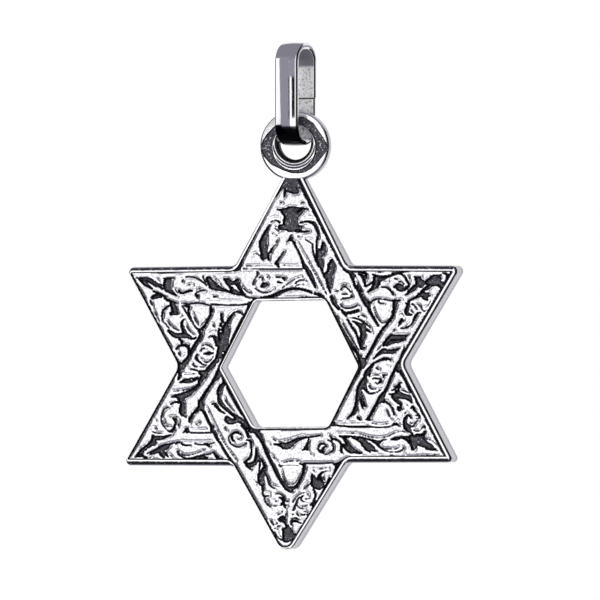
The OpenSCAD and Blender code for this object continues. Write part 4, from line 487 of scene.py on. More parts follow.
LOWER_RIGHT_ARM = [
    [29.6, -6.6, 28.7, -8, 27.6, -9.6, 1, 1.2, 1.8], [28, -9.4, 28.8, -10.4, 29.6, -11.2, 1.4, 0.8, 0.5],
    [27.6, -10, 26.2, -11.6, 25.2, -13.2, 2, 1, 1], [25.2, -13.2, 24.4, -14.6, 23.6, -15.6, 1, 1, 1.1],
    [23.2, -15.8, 23.9, -15.9, 24.6, -16, 0.5, 0.6, 0.4],
    [27.6, -9.6, 27.9, -10.4, 28.6, -10.9, 1.8, 1, 0.6], [13.6, -17.4, 18, -17.8, 23, -17.8, 0.6, 0.75, 0.8],
    [23, -17.8, 27, -18, 30.6, -17.8, 0.7, 0.5, 0.5], [12.2, -17.4, 13, -17.2, 13.6, -16.6, 0.8, 1.2, 0.6],
    [12.8, -16.8, 13.4, -15, 14.2, -13.6, 1, 0.9, 0.8], [14.2, -13.6, 16.2, -10, 18.2, -6.4, 0.8, 0.7, 0.7],
    [21, -6.8, 20.8, -8.6, 20.4, -10.4, 1.8, 1.9, 1.3], [20.4, -10.4, 20.1, -12, 19.9, -13, 1.3, 1.3, 1.6],
    [19.8, -12.8, 19.2, -14, 18, -15, 1.4, 1.3, 0.7], [18, -15, 17.4, -15.6, 16.8, -16.2, 0.7, 0.5, 0.3],
    [21.4, -8.2, 21.8, -10, 22.8, -12, 1.4, 1.4, 0.6], [21.6, -10.6, 22, -11.8, 22.2, -12.6, 1, 0.9, 0.5],
    [20.6, -15.1, 20.9, -15.5, 21.2, -15.9, 0.7, 1, 0.7],
    [14.2, -16.8, 18, -16.8, 22.2, -16.7, 0.3, 0.35, 0.25],
    [24.8, -16.8, 27.6, -17.2, 30.2, -16.9, 0.3, 0.3, 0.25],
    [14.6, -19.7, 18, -19.7, 21.6, -20, 0.2, 0.3, 0.3], [21.6, -20, 26, -21, 30, -20.6, 0.3, 0.4, 0.3],
    [30, -20.6, 32, -19.6, 34, -19.1, 0.3, 0.3, 0.3], [34.2, -19.1, 35, -19.4, 36.4, -20.1, 0.4, 0.35, 0.2],
    [18.8, -26.7, 24, -26.6, 29, -26.6, 0.3, 0.35, 0.3],
    [29, -26.6, 36, -26.5, 45.6, -25.6, 0.35, 0.35, 0.3], [27, -26, 31, -26, 35, -25.8, 0.2, 0.25, 0.2]]
RIGHT_BAND = [
    [14, 13.6, 16.6, 8.6, 19.6, 4.4, 1, 1.3, 1.1], [19.6, 4.4, 20.6, 3, 21.4, 1.6, 1.1, 1.1, 1.6],
    [21.6, 1.2, 22, 0.4, 22, -0.8, 1.8, 2.4, 1.2], [22, 1.4, 22.9, 1.4, 23.4, 2.2, 1.2, 1, 0.5],
    [21.6, -0.4, 21.4, -1.2, 20.8, -2.4, 1.2, 1, 0.8], [20.8, -2.4, 19, -5.4, 16.8, -9, 0.8, 0.7, 0.8],
    [15.6, 12.4, 18.2, 8, 20.9, 4.1, 0.3, 0.4, 0.4], [17.4, 12.9, 19, 10.6, 20.2, 8.6, 0.6, 1, 0.6],
    [20.2, 8.6, 21, 6.6, 21.7, 4.6, 0.6, 1, 1], [21.6, 5, 22, 4.6, 22.7, 4.9, 1, 1.2, 0.5],
    [19, 12.4, 20.6, 11.6, 22, 10.4, 0.5, 1.2, 2], [22, 10.8, 22.2, 9, 21.8, 7.4, 2.2, 2, 1.6],
    [22, 10.6, 23.6, 9.8, 25, 8.9, 1.4, 0.9, 0.3], [21.8, 7.4, 21.7, 6, 21.8, 4.6, 1.4, 1, 1.2],
    [28.4, 5.4, 29.6, 6.9, 31, 8, 0.8, 1.6, 1.6], [30.6, 7.6, 32.6, 7.8, 34.6, 7.9, 1.6, 1.8, 1.6],
    [34.6, 7.9, 35.4, 8.2, 36.2, 8.6, 1.2, 0.8, 0.3], [28.6, 5.6, 29.6, 5.8, 30.6, 6.4, 0.9, 1.2, 1.4],
    [25.4, 1.6, 27.2, 3.2, 28.6, 3.9, 0.5, 1.2, 1.7], [28.6, 3.9, 30.2, 3.6, 31.6, 3.8, 1.7, 1.4, 1.4],
    [31.6, 3.9, 32.6, 4.3, 33.6, 4.7, 1.4, 0.9, 0.3], [25.2, 0.3, 26.6, 0.9, 28, 1.4, 0.6, 0.9, 0.9],
    [28, 1.4, 29.2, 1.6, 30.4, 1.4, 0.9, 1.2, 0.6], [30.4, 1.6, 30.6, 1, 31, 0.7, 0.5, 0.4, 0.2],
    [22.8, -3.6, 23.6, -1.8, 25.2, 0.1, 1.4, 1.4, 0.8], [23.4, -2.4, 24, -2.8, 24.2, -3.4, 1.6, 1, 0.6],
    [22.4, -4.4, 21.6, -5.8, 20.9, -7.4, 1.4, 1.8, 1.8], [22.6, -4, 22.8, -5.4, 22.6, -6.4, 1.2, 1.3, 1.4],
    [22.2, -6.2, 23, -7.2, 23.8, -8.2, 1.6, 1.1, 0.6], [26.2, -0.9, 26.6, -1.3, 27.1, -1.4, 0.4, 0.5, 0.4],
    [28.2, -3, 28.7, -3.1, 29.4, -3, 0.5, 0.5, 0.3], [28.3, -3, 28.5, -3.6, 28.2, -3.8, 0.5, 0.5, 0.3],
    [25, -4.1, 26.6, -4, 27.9, -4.4, 0.4, 0.7, 0.6], [27.9, -4.4, 27.4, -5, 26.8, -5.4, 0.6, 1, 0.5],
    [26, -5.2, 26.4, -5.5, 26.9, -5.4, 0.4, 0.4, 0.3], [24.8, -3.4, 26.4, -3, 27.8, -3.6, 0.2, 0.4, 0.2],
    [24, -6, 24.8, -7, 26.4, -7, 0.4, 0.5, 0.25], [23.4, -7.6, 24.2, -8.3, 25.4, -8.2, 0.8, 0.6, 0.5],
    [25.4, -8.2, 26.4, -8, 27, -7.7, 0.4, 0.4, 0.2], [27, -7.5, 27.5, -7.4, 28, -7.1, 0.3, 0.4, 0.2],
    [29.7, -0.6, 30, -0.7, 30.3, -0.6, 0.2, 0.35, 0.2], [33.6, 1.6, 32.8, -0.2, 31.6, -2, 0.7, 1.5, 1],
    [31.6, -2, 30.6, -4, 29.8, -6, 0.9, 0.9, 0.9], [29.8, -6, 28.8, -7.8, 27.6, -9.4, 0.9, 1, 1.4],
    [33.2, 0.4, 33, -1, 32.8, -2, 1.2, 1.9, 1], [33.2, -1.6, 33.6, -2.4, 34.4, -3.6, 1, 0.8, 0.6],
    [34.4, -3.6, 35.4, -5.4, 36.6, -8, 0.6, 0.6, 0.6], [34.8, 5, 34.2, 3.4, 33.6, 1.8, 0.4, 0.6, 0.8],
    [31.6, -6.4, 32.6, -6, 33.2, -5.2, 0.4, 0.3, 0.3], [28.6, 10.6, 27.4, 9, 26, 6.6, 0.8, 1, 1],
    [26, 6.6, 24.8, 4.4, 23.4, 2.2, 1, 1, 1], [32.4, 10.8, 30, 8, 26.4, 3.9, 0.25, 0.4, 0.35]]
UPPER_RIGHT_ARM = [
    [17.4, 13.4, 20.6, 13, 23, 11.6, 0.3, 0.6, 0.7], [23, 11.6, 24, 10.9, 24.6, 10, 0.6, 0.5, 0.25],
    [17, 14.6, 19, 15, 20.6, 15.4, 1, 1.1, 1.1], [20.6, 15.4, 20.9, 15.6, 21.2, 15.6, 1, 0.6, 0.3],
    [15.6, 15.6, 16.4, 14.8, 17.2, 13.8, 0.8, 1.1, 0.7], [15.2, 17.4, 16.2, 16.3, 18, 16.1, 0.4, 0.5, 0.5],
    [18, 16.1, 19.4, 16.4, 20.4, 17, 0.5, 0.5, 0.5], [20.4, 17, 20.9, 16.8, 21.3, 16.3, 0.4, 0.3, 0.2],
    [15.4, 21.4, 16.4, 22.3, 17.4, 21.9, 0.6, 0.6, 0.5], [17.6, 21.7, 18.1, 21.2, 18.4, 20.7, 0.5, 0.6, 0.5],
    [15.6, 20, 16.6, 20.2, 17.8, 20, 0.3, 0.5, 0.3], [16, 18.9, 17.4, 19, 18.9, 19.4, 0.6, 0.5, 0.6],
    [18.6, 20, 18.6, 19.6, 18.9, 19.4, 0.5, 0.5, 0.3], [13.4, 20.9, 14.2, 21, 14.7, 21.1, 0.3, 0.5, 0.4],
    [15, 22, 16.8, 22.9, 18.6, 21.8, 0.2, 0.35, 0.2], [15.5, 18.7, 15.6, 18.5, 15.7, 18.4, 0.4, 0.4, 0.3],
    [12.6, 19.4, 13.4, 17.6, 14.8, 16, 1.2, 1.4, 1.1], [16.4, 27.2, 18, 26.4, 19.4, 25.4, 0.8, 1.2, 1.4],
    [18.6, 25.6, 19.2, 24.2, 19.6, 22.8, 1.3, 0.9, 0.9], [19.6, 22.8, 20.4, 21.6, 21.6, 20.6, 0.9, 1, 1.2],
    [20.4, 22.6, 21, 21.6, 21.8, 21.2, 0.6, 0.8, 0.6], [21.2, 20.8, 22.2, 18.8, 23.4, 17, 1.2, 1.4, 1.5],
    [22.4, 19, 23.2, 18.2, 24.4, 17.7, 0.9, 1.2, 0.7], [23.8, 17, 24.3, 15.2, 25.2, 13.8, 1.3, 1.1, 1],
    [25.2, 13.8, 26, 12.4, 26.9, 11, 1, 0.9, 0.7], [18, 26.6, 20.4, 26.5, 22, 26.3, 0.5, 0.5, 0.5],
    [20.8, 25.9, 22, 25.3, 22.6, 24, 0.6, 1.1, 1.1], [22, 26.2, 23, 26, 23.3, 24.8, 0.7, 1, 0.8],
    [22.6, 25, 22.8, 23.4, 22.9, 22.4, 1.3, 1, 0.8], [22.9, 22.6, 23.8, 22.7, 24.8, 23.4, 0.8, 0.7, 0.6],
    [24.8, 23.4, 25.8, 24, 26.4, 25, 0.6, 1.4, 1.6], [25.2, 25.8, 25.7, 25.6, 25.5, 25.4, 0.6, 0.8, 0.4],
    [26, 25.2, 27.6, 25.2, 29.3, 25.4, 0.8, 0.6, 0.5], [25.8, 24.6, 27.4, 24.4, 29.2, 24.9, 1.5, 1.6, 1],
    [29, 25, 30.4, 25.4, 32, 25.9, 1, 0.8, 0.7], [26.2, 24.2, 25.8, 22.8, 25, 21.8, 1.5, 1.8, 1.2],
    [25.6, 22.2, 24.6, 21.4, 23.8, 20.8, 1.6, 1, 0.8], [26, 23, 26.6, 22.6, 27.2, 23.6, 1, 1, 0.8],
    [26.4, 22, 28, 22.1, 29.2, 22.1, 0.5, 0.4, 0.5], [29.2, 22.1, 30.4, 21.3, 31.4, 20, 0.6, 0.8, 0.6],
    [28.2, 23.4, 29, 23.8, 29.8, 23.9, 0.15, 0.35, 0.25], [26, 26.3, 27.4, 26.4, 28.8, 26.2, 0.2, 0.3, 0.2],
    [31, 26.2, 33, 26.3, 36, 26.7, 0.4, 0.6, 0.4], [31, 18.3, 32, 18.3, 33.4, 18.3, 0.6, 0.8, 0.6],
    [32, 18, 31.7, 16, 31.3, 14, 1.6, 1.2, 1], [31.3, 14, 30.4, 12.6, 29, 11, 1, 1, 1],
    [29, 11, 27.8, 9.6, 26.6, 7.6, 1, 0.9, 1], [24.6, 17.6, 25.6, 18.5, 27, 18.8, 0.7, 0.6, 0.4],
    [27, 18.8, 29, 18.6, 31, 18.2, 0.4, 0.45, 0.5], [31, 18.2, 32.4, 18.3, 34, 18.5, 0.5, 0.6, 0.3],
    [26.9, 18.6, 27, 17.9, 27.4, 17.5, 0.3, 0.5, 0.4], [27.4, 17.5, 27.9, 17.5, 28.6, 17.5, 0.4, 0.35, 0.3],
    [25.3, 16.4, 26.4, 13.6, 28, 11.8, 0.3, 0.35, 0.4], [28, 11.8, 30, 12.9, 30.9, 15.4, 0.4, 0.35, 0.25],
    [20.2, 24, 21, 22.6, 22, 21.6, 0.25, 0.4, 0.3], [20.6, 13.8, 20.9, 13.7, 21.2, 13.9, 0.4, 0.5, 0.3],
    [21.4, 14.2, 22.2, 14, 22.8, 13.5, 0.25, 0.5, 0.4]]
UPPER_RIGHT_POINT = [
    [32, 26, 34.2, 25.7, 35.4, 24.2, 0.6, 0.7, 0.8], [35.4, 24.2, 36, 23.2, 36.3, 22.4, 0.8, 0.7, 0.7],
    [31.8, 22.2, 33, 22.4, 34, 22.2, 0.9, 2, 1.4], [33, 21.8, 34.6, 21.4, 36, 22.2, 1.6, 1, 0.8],
    [35, 22.2, 35.6, 22.3, 36.2, 22.6, 0.5, 0.6, 0.5], [31.6, 24.7, 32.2, 24.5, 32.8, 24.2, 0.3, 0.55, 0.3],
    [33, 23.7, 34, 23.6, 34.6, 22.9, 0.3, 0.4, 0.4], [35.4, 25.9, 36.2, 25, 36.4, 23.9, 0.2, 0.4, 0.2],
    [37.8, 25.2, 38.8, 24.6, 39.8, 25.2, 0.5, 1.4, 0.5], [38.4, 24.6, 39.2, 23.6, 39.8, 22.8, 1.2, 2.2, 2],
    [38.8, 23, 37.6, 21.8, 36.2, 20.9, 1.4, 1.6, 1.2], [36.4, 20.9, 35.8, 20.3, 35, 19.9, 1, 0.8, 0.4],
    [39.8, 23.6, 41, 23.3, 42, 23.6, 2, 1, 1.6], [42, 23.6, 43.4, 23.8, 45, 24, 2, 3, 2.6],
    [43, 25, 44.6, 25.3, 46, 25.6, 1.2, 1.2, 0.6], [45, 23.2, 46.4, 23.2, 47.4, 23.6, 1.4, 1, 0.6],
    [45.6, 22.8, 46.2, 22.2, 46.6, 21.6, 1.8, 1.2, 0.6], [46.4, 26.2, 47.6, 25.9, 48.6, 25.4, 0.4, 0.9, 0.7],
    [47.8, 25.4, 47.8, 24.4, 47.2, 23.2, 0.8, 1.2, 1], [48.4, 25.4, 49, 25.5, 49.6, 25.4, 0.9, 0.6, 0.3],
    [44.6, 22.7, 45.2, 22.6, 45.9, 21.8, 0.6, 0.5, 0.4], [36, 18.2, 38, 19.1, 40, 20.2, 0.6, 0.9, 1.4],
    [38.6, 19.6, 40, 20, 41.6, 19.8, 0.9, 1.6, 1.8], [40, 20.8, 40.8, 21.6, 41.4, 22.2, 0.9, 0.9, 0.4],
    [40.6, 19.4, 41.2, 18.9, 41.9, 18.4, 1.4, 1.2, 0.5], [41.4, 20.2, 42, 19.8, 42.9, 19.6, 0.8, 0.9, 0.3],
    [36.2, 18.1, 36, 17, 35.6, 15.8, 1, 1.2, 1.4], [35.4, 15.8, 35.6, 14.6, 37, 14.2, 1.2, 1.4, 0.7],
    [35, 17.6, 35.5, 17.4, 36, 17.4, 0.4, 0.7, 0.8], [37, 17.3, 37.8, 16.9, 38.6, 15.7, 0.5, 0.6, 0.4],
    [36.6, 15.9, 37, 15.2, 37.8, 14.6, 0.2, 0.4, 0.3], [38, 17.5, 39.4, 16.8, 40.2, 15.6, 0.2, 0.5, 0.3],
    [40.2, 15.6, 40.8, 15.2, 41.4, 15.6, 0.3, 0.4, 0.25],
    [41.2, 16.4, 42.2, 17.2, 42.8, 18.8, 0.2, 0.3, 0.2], [37.6, 12.6, 38.2, 13.8, 38.8, 14.6, 0.8, 1, 0.9],
    [38.8, 14.6, 39.3, 14.8, 40, 14.9, 0.8, 0.6, 0.3], [33.6, 10.4, 35.8, 10.7, 37.4, 12.2, 0.35, 0.6, 0.6],
    [33, 10.9, 33.5, 12, 34, 13.1, 0.4, 1.1, 0.6], [33.7, 12.2, 34, 12.5, 34.5, 12.6, 1, 1.1, 0.4],
    [33.2, 14.3, 34, 14.6, 34.8, 13.6, 0.2, 0.35, 0.2], [33.8, 10.6, 35.6, 11.4, 36.6, 12.6, 0.2, 0.3, 0.2],
    [40.6, 21.2, 41.6, 21.9, 42.6, 22.4, 1, 1.4, 1.2], [30.2, 6.4, 32.6, 6.7, 34.8, 7.2, 1.2, 1.3, 0.9]]
GROUND = (
    TOP_POINT + TOP_BAND + UPPER_LEFT_ARM + UPPER_LEFT_POINT + LEFT_BAND
    + LOWER_LEFT_POINT + LOWER_LEFT_ARM + LOWER_BAND + BOTTOM_POINT + LOWER_RIGHT_BAND
    + LOWER_RIGHT_POINT + LOWER_RIGHT_ARM + RIGHT_BAND + UPPER_RIGHT_ARM + UPPER_RIGHT_POINT)

# Narrow leaves left standing inside the ground, in the same form
BLADES = [
    [12.4, 32.8, 11.1, 30.4, 10.5, 26.7, 1.6, 1, 0.75], [14.6, 28.9, 14.4, 27.4, 13.4, 25.7, 1.6, 1.3, 0.6],
    [9.2, 36, 9.05, 34.6, 9.1, 33.3, 0.6, 0.45, 0.3], [-17.9, 22.6, -16.8, 21.9, -15.6, 20.9, 0.5, 0.8, 0.3],
    [-42.7, 22.7, -39.8, 21, -36, 19.2, 0.7, 0.8, 1.1], [-20.7, 3.1, -20.6, 3.2, -20.5, 3.2, 0.5, 0.55, 0.5],
    [-21.7, 1.3, -21.6, 1.4, -21.5, 1.4, 0.4, 0.5, 0.4],
    [-21.6, 10.6, -21.5, 10.5, -21.4, 10.4, 0.5, 0.5, 0.5],
    [-21.4, 9.4, -21.2, 9.4, -21.1, 9.3, 0.4, 0.5, 0.4],
    [-30.4, -4.5, -30.3, -4.6, -30.1, -4.7, 0.4, 0.5, 0.3],
    [-44.8, -25.5, -44.1, -26.3, -43.3, -25.9, 0.4, 0.7, 0.4],
    [19.1, 11.3, 20.1, 10.2, 21, 9.1, 0.5, 0.9, 0.5], [25.6, 0.9, 27.2, 1.8, 29, 2.5, 0.5, 0.6, 0.3],
    [22.3, 6.6, 22.5, 6.4, 22.4, 6.3, 0.4, 0.5, 0.4], [22.5, 5.3, 22.7, 5.3, 22.8, 5.2, 0.4, 0.5, 0.4],
    [46, 24.1, 46.8, 24.4, 47.2, 25.1, 0.5, 1, 0.5]]


def smooth(x):
    """0 up to 0, 1 from 1, and three x squared less two x cubed between."""
    x = np.clip(x, 0, 1)
    return x * x * (3 - 2 * x)


def unit_of(v):
    """Rows of v at length one."""
    return v / np.linalg.norm(v, axis=-1, keepdims=True)


def heading(corners):
    """The directions of the edges that run up to each corner of an outline."""
    return unit_of(np.array(corners)[:, :2] - np.roll(np.array(corners)[:, :2], 1, 0))


def outline(corners, inset, steps=10):
    """A clockwise outline whose edges move inwards, all by one inset or each by its own. An arc of the
    corner's radius about the middle between its edges rounds each corner, with steps segments.
    """
    c = np.array(corners, float)
    e = heading(corners)
    f = np.roll(e, -1, 0)
    a, b = e[:, ::-1] * [1, -1], f[:, ::-1] * [1, -1]
    d = np.broadcast_to(inset, len(c))
    n = np.roll(d, -1)
    s = (a * b).sum(1)
    p = c[:, :2] + a * ((d - s * n) / (1 - s * s))[:, None] + b * ((n - s * d) / (1 - s * s))[:, None]
    turn = e[:, 0] * f[:, 1] - e[:, 1] * f[:, 0]
    radius = np.maximum(0.05, c[:, 2] - (d + n) / 2 * np.where(turn < 0, 1, -1))[:, None]
    half = np.arccos((-e * f).sum(1))[:, None] / 2
    middle = p + unit_of(f - e) * radius / np.sin(half)
    start = p - e * radius / np.tan(half) - middle
    stop = p + f * radius / np.tan(half) - middle
    sweep = np.arctan2(start[:, 0] * stop[:, 1] - start[:, 1] * stop[:, 0], (start * stop).sum(1))
    q = sweep[:, None] * np.linspace(0, 1, steps + 1)
    x = start[:, :1] * np.cos(q) - start[:, 1:] * np.sin(q)
    y = start[:, :1] * np.sin(q) + start[:, 1:] * np.cos(q)
    return (np.stack([x, y], -1) + middle[:, None]).reshape(-1, 2)


def from_outline(points, u, v):
    """Distance to a closed outline at each point of a grid, below zero inside: the least distance to its
    straight pieces, with the sign of how often a ray to the right crosses them.
    """
    least = np.full(u.shape, 1e9)
    inside = np.zeros(u.shape, bool)
    for a, b in zip(points, np.roll(points, -1, 0)):
        e = b - a
        s = np.clip(((u - a[0]) * e[0] + (v - a[1]) * e[1]) / max(e @ e, 1e-12), 0, 1)
        least = np.minimum(least, (u - a[0] - s * e[0]) ** 2 + (v - a[1] - s * e[1]) ** 2)
        across = (a[1] > v) != (b[1] > v)
        inside ^= across & (u < a[0] + (v - a[1]) * e[0] / (e[1] or 1e-12))
    return np.sqrt(least) * np.where(inside, -1, 1)


def from_strokes(rows, u, v):
    """Distance to the nearest stroke at each point of a grid, below zero inside: the distance to a curve
    through the row's three points, less half the width there, which grows evenly from point to point. Wide
    strokes keep a little of their width for the leaves' rounded edges.
    """
    field = np.full(u.shape, 9.0)
    share = np.linspace(0, 1, 9)
    t = share[:, None]
    for row in np.array(rows):
        p = row[0:2] * (1 - t) * (1 - 2 * t) + row[2:4] * 4 * t * (1 - t) + row[4:6] * t * (2 * t - 1)
        half = np.interp(share, [0, 0.5, 1], row[6:9] / 2)
        half = half - EDGE_ROUND * np.clip((half - 0.12) / 0.3, 0, 1)
        low, high = p.min(0) - half.max() - 1.5, p.max(0) + half.max() + 1.5
        i = slice(*np.searchsorted(u[0], [low[0], high[0]]))
        j = slice(*np.searchsorted(v[:, 0], [low[1], high[1]]))
        x, y, near = u[j, i], v[j, i], field[j, i]
        for k in range(len(p) - 1):
            a, e = p[k], p[k + 1] - p[k]
            s = np.clip(((x - a[0]) * e[0] + (y - a[1]) * e[1]) / max(e @ e, 1e-9), 0, 1)
            gap = np.hypot(x - a[0] - s * e[0], y - a[1] - s * e[1])
            near = np.minimum(near, gap - half[k] - s * (half[k + 1] - half[k]))
        field[j, i] = near
    return field


def neck_fall(v):
    """How far the plate's faces draw in towards the thinner eye, at height v in percent of the side."""
    return NECK_FALL * smooth((v - NECK_START) / NECK_RUN)


def raised(rise):
    """The outer edge with the two corners at its neck moved up along the edges below them, and a little
    apart.
    """
    c = np.array(EDGE)
    for top, foot, wider in ((0, 1, 0.2), (-1, -2, -0.4)):
        c[top, :2] += (c[top, :2] - c[foot, :2]) * rise / (c[top, 1] - c[foot, 1])
        c[top, 0] += wider
    return c


def rim_inset(rims, way, stage):
    """The inset of each edge of an outline at a stage of its rim: 1 where the bevel ends, 2 where the crown
    ends, 3 at the foot of the wall, 4 where the leaves start.
    """
    return way * np.array([np.interp(stage, range(5), [0] + RIMS[k]) for k in rims])


def solid(name, points, faces, values, body, sharp=35):
    """A closed mesh object of points in millimetres, with its faces turned outwards, a value for each point,
    and edges sharper than an angle kept crisp. It rides on a body.
    """
    mesh = bpy.data.meshes.new(name)
    mesh.from_pydata((np.asarray(points) / 1000).tolist(), [], faces)
    mark(mesh, values)
    return finished(name, mesh, body, sharp)


def mark(mesh, values):
    """Gives each point of a mesh its from_edge value."""
    marks = mesh.attributes.new("from_edge", "FLOAT", "POINT")
    marks.data.foreach_set("value", np.asarray(values, np.float32))


def finished(name, mesh, body, sharp):
    """An object of a mesh, with its normals outwards and smooth shading, on its body."""
    b = bmesh.new()
    b.from_mesh(mesh)
    bmesh.ops.recalc_face_normals(b, faces=b.faces)
    b.to_mesh(mesh)
    b.free()
    mesh.shade_smooth()
    mesh.set_sharp_from_angle(angle=math.radians(sharp))
    piece = bpy.data.objects.new(name, mesh)
    bpy.context.scene.collection.objects.link(piece)
    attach(piece, body)
    return piece


def band(rows, around, first=0, closed=False):
    """Quads between neighbouring rows of points, each row going round a closed path. A closed band also
    joins its last row to its first.
    """
    r = np.arange(rows if closed else rows - 1)[:, None]
    k = np.arange(around)[None, :]
    a = r * around + k
    b = r * around + (k + 1) % around
    c, d = (r + 1) % rows * around + (k + 1) % around, (r + 1) % rows * around + k
    return (np.stack([a, b, c, d], -1).reshape(-1, 4) + first).tolist()


def cap(points, *loops):
    """Triangles that close a flat face between loops of point numbers, the first round the others."""
    joined = np.concatenate(loops)
    corners = tessellate_polygon([[(points[i][0], points[i][2], 0) for i in loop] for loop in loops])
    return joined[np.array(corners)].tolist()


def star_frame():
    """The plate without its leaves. A profile of (stage, depth, distance from an edge) is carried along the
    outer edge and, turned round, along the window: a rim, its wall down to the ground, the side and the
    back's bevel. Stages below zero are plain insets. The rim's bevels are painted dark on level edges and on
    edges that face right, a painted shade, and stay bright on left edges.
    """
    profile = np.array([
        [-0.30, 0.875, 1], [-0.10, 0.86, 1], [0.0, 0.80, 1],
        [0.0, -0.53, 0.8], [0.0, -0.6, 0.8], [0.0, -0.64, 0.8], [0.08, -0.71, 0.4],
        [0.2, -0.765, BUFFED], [0.42, -0.815, BUFFED], [0.7, -0.85, BUFFED], [1, -0.87, BUFFED],
        [2, -0.875, BUFFED], [2.35, -0.868, BUFFED], [2.65, -0.84, 0.04],
        [2.82, -0.79, 0.0], [2.94, -0.68, -0.06], [3, -0.525, -0.1]])
    points, values, faces, loops = [], [], [], []
    for corners, rims, way in ((raised(PLATE_RISE), OUTER_RIM, 1), (WINDOW, WINDOW_RIM, -1)):
        first = sum(len(p) for p in points)
        rows = [outline(corners, rim_inset(rims, way, t) if t > 0 else way * -t) for t in profile[:, 0]]
        around = len(rows[0])
        along = way * unit_of(np.roll(rows[0], -1, 0) - np.roll(rows[0], 1, 0))
        for row, (t, depth, value) in zip(rows, profile):
            y = depth - np.sign(depth) * neck_fall(row[:, 1])
            points.append(np.stack([STAR_X + row[:, 0] * UNIT, y, STAR_Z + row[:, 1] * UNIT], -1))
            # Painted shade: the rim's bevel is painted dark on level edges and on edges that face right
            level = (np.abs(along[:, 0]) > 0.9) & (0.3 < t <= 1)
            right = (along[:, 1] < -0.5) & (0 <= t < 0.9) & (-0.84 < depth < -0.58)
            values.append(np.where(level | right, PAINTED_BEVEL_SHADE, value))
        faces += band(len(rows), around, first)
        loops.append((first + np.arange(around), first + (len(rows) - 1) * around + np.arange(around)))
    points = np.concatenate(points)
    for side in (0, 1):
        faces += cap(points, loops[0][side], loops[1][side])
    return solid("star_plate", points, faces, np.concatenate(values), "star")


def star_relief():
    """The leaves and the ground between them. Over a grid of u across and v up, the depth falls from the
    leaf's crown to its edge by a smooth step of the distance g from the leaf's edge, and on to the ground by
    a steeper one. Grid points near a leaf's edge or the relief's own border are moved along the slope of the
    distance onto that line.
    """
    u, v = np.meshgrid(np.arange(-52, 53, CELL), np.arange(-57, 56.5, CELL))
    neck = raised(RELIEF_RISE)
    border = np.maximum(from_outline(outline(neck, rim_inset(OUTER_RIM, 1, 4)), u, v),
                        -from_outline(outline(WINDOW, rim_inset(WINDOW_RIM, -1, 4)), u, v))
    g = np.minimum(from_strokes(GROUND, u, v), -border)
    g = np.maximum(g, -from_strokes(BLADES, u, v))
    near = np.abs(g) < 0.5 * CELL
    du, dv = moved(g, near)
    total = border[:-1, :-1] + border[1:, :-1] + border[:-1, 1:] + border[1:, 1:]
    kept = (total < 0) & (v[1:, 1:] <= RELIEF_TOP)
    cells = np.zeros(u.shape, int)
    for i in (slice(None, -1), slice(1, None)):
        for j in (slice(None, -1), slice(1, None)):
            cells[i, j] += kept
    rim = (cells > 0) & (cells < 4) & (v < BORDER_TOP)
    ru, rv = moved(border, rim)
    g = np.where(rim, np.minimum(g, 0.02), np.where(near, 0, g))
    u = u + np.where(rim, ru, du)
    v = v + np.where(rim, rv, dv)
    crown = CROWN_RISE * (1 - smooth(g / CROWN_RUN))
    wall = (GROUND_DEPTH - CROWN_RISE) * smooth(-g / WALL_RUN)
    y = -HALF_DEPTH + crown + wall + neck_fall(v)
    used = cells > 0
    number = np.cumsum(used.ravel()).reshape(used.shape) - 1
    quads = np.stack([number[:-1, :-1], number[:-1, 1:], number[1:, 1:], number[1:, :-1]], -1)[kept]
    points = np.stack([STAR_X + u * UNIT, y, STAR_Z + v * UNIT], -1)[used] / 1000
    mesh = bpy.data.meshes.new("star_relief")
    mesh.from_pydata(points.tolist(), [], quads.tolist())
    mark(mesh, np.clip(g * UNIT, -0.24 - 0.2 * (v > FLECK_START), 0.25)[used])
    close_below(mesh, SKIRT_Y)
    return finished("star_relief", mesh, "star", 60)


def moved(field, where):
    """The steps in u and v that take grid points onto the line where a field is zero: the field over its
    slope squared, down the slope, and no longer than one cell.
    """
    fv, fu = np.gradient(field, CELL)
    scale = np.where(where, -field / np.maximum(fu * fu + fv * fv, 0.3), 0)
    return np.clip(fu * scale, -CELL, CELL), np.clip(fv * scale, -CELL, CELL)


def close_below(mesh, y):
    """Drops a skirt from the mesh's border down to depth y and closes it with a flat face."""
    b = bmesh.new()
    b.from_mesh(mesh)
    layer = b.verts.layers.float["from_edge"]
    border = [e for e in b.edges if e.is_boundary]
    skirt = bmesh.ops.extrude_edge_only(b, edges=border)["geom"]
    for vertex in skirt:
        if isinstance(vertex, bmesh.types.BMVert):
            vertex.co.y = y / 1000
            vertex[layer] = -0.1
    bmesh.ops.triangle_fill(b, edges=[e for e in b.edges if e.is_boundary], use_beauty=False)
    b.to_mesh(mesh)
    b.free()


def to_oval(angle, radius):
    """How far a ray from the hole's centre runs to the oval's edge: to the round end on its own side, or to
    the short straight above or below where it meets that first.
    """
    c, s = np.cos(angle), np.sin(angle)
    along = EYE_SPREAD * np.abs(c) - HOLE_RISE * s
    reach = along + np.sqrt(along ** 2 + radius ** 2 - EYE_SPREAD ** 2 - HOLE_RISE ** 2)
    flat = (radius * np.sign(s) - HOLE_RISE) / np.where(np.abs(s) < 0.1, 0.1, s)
    return np.where(np.abs(reach * c) < EYE_SPREAD, flat, reach)


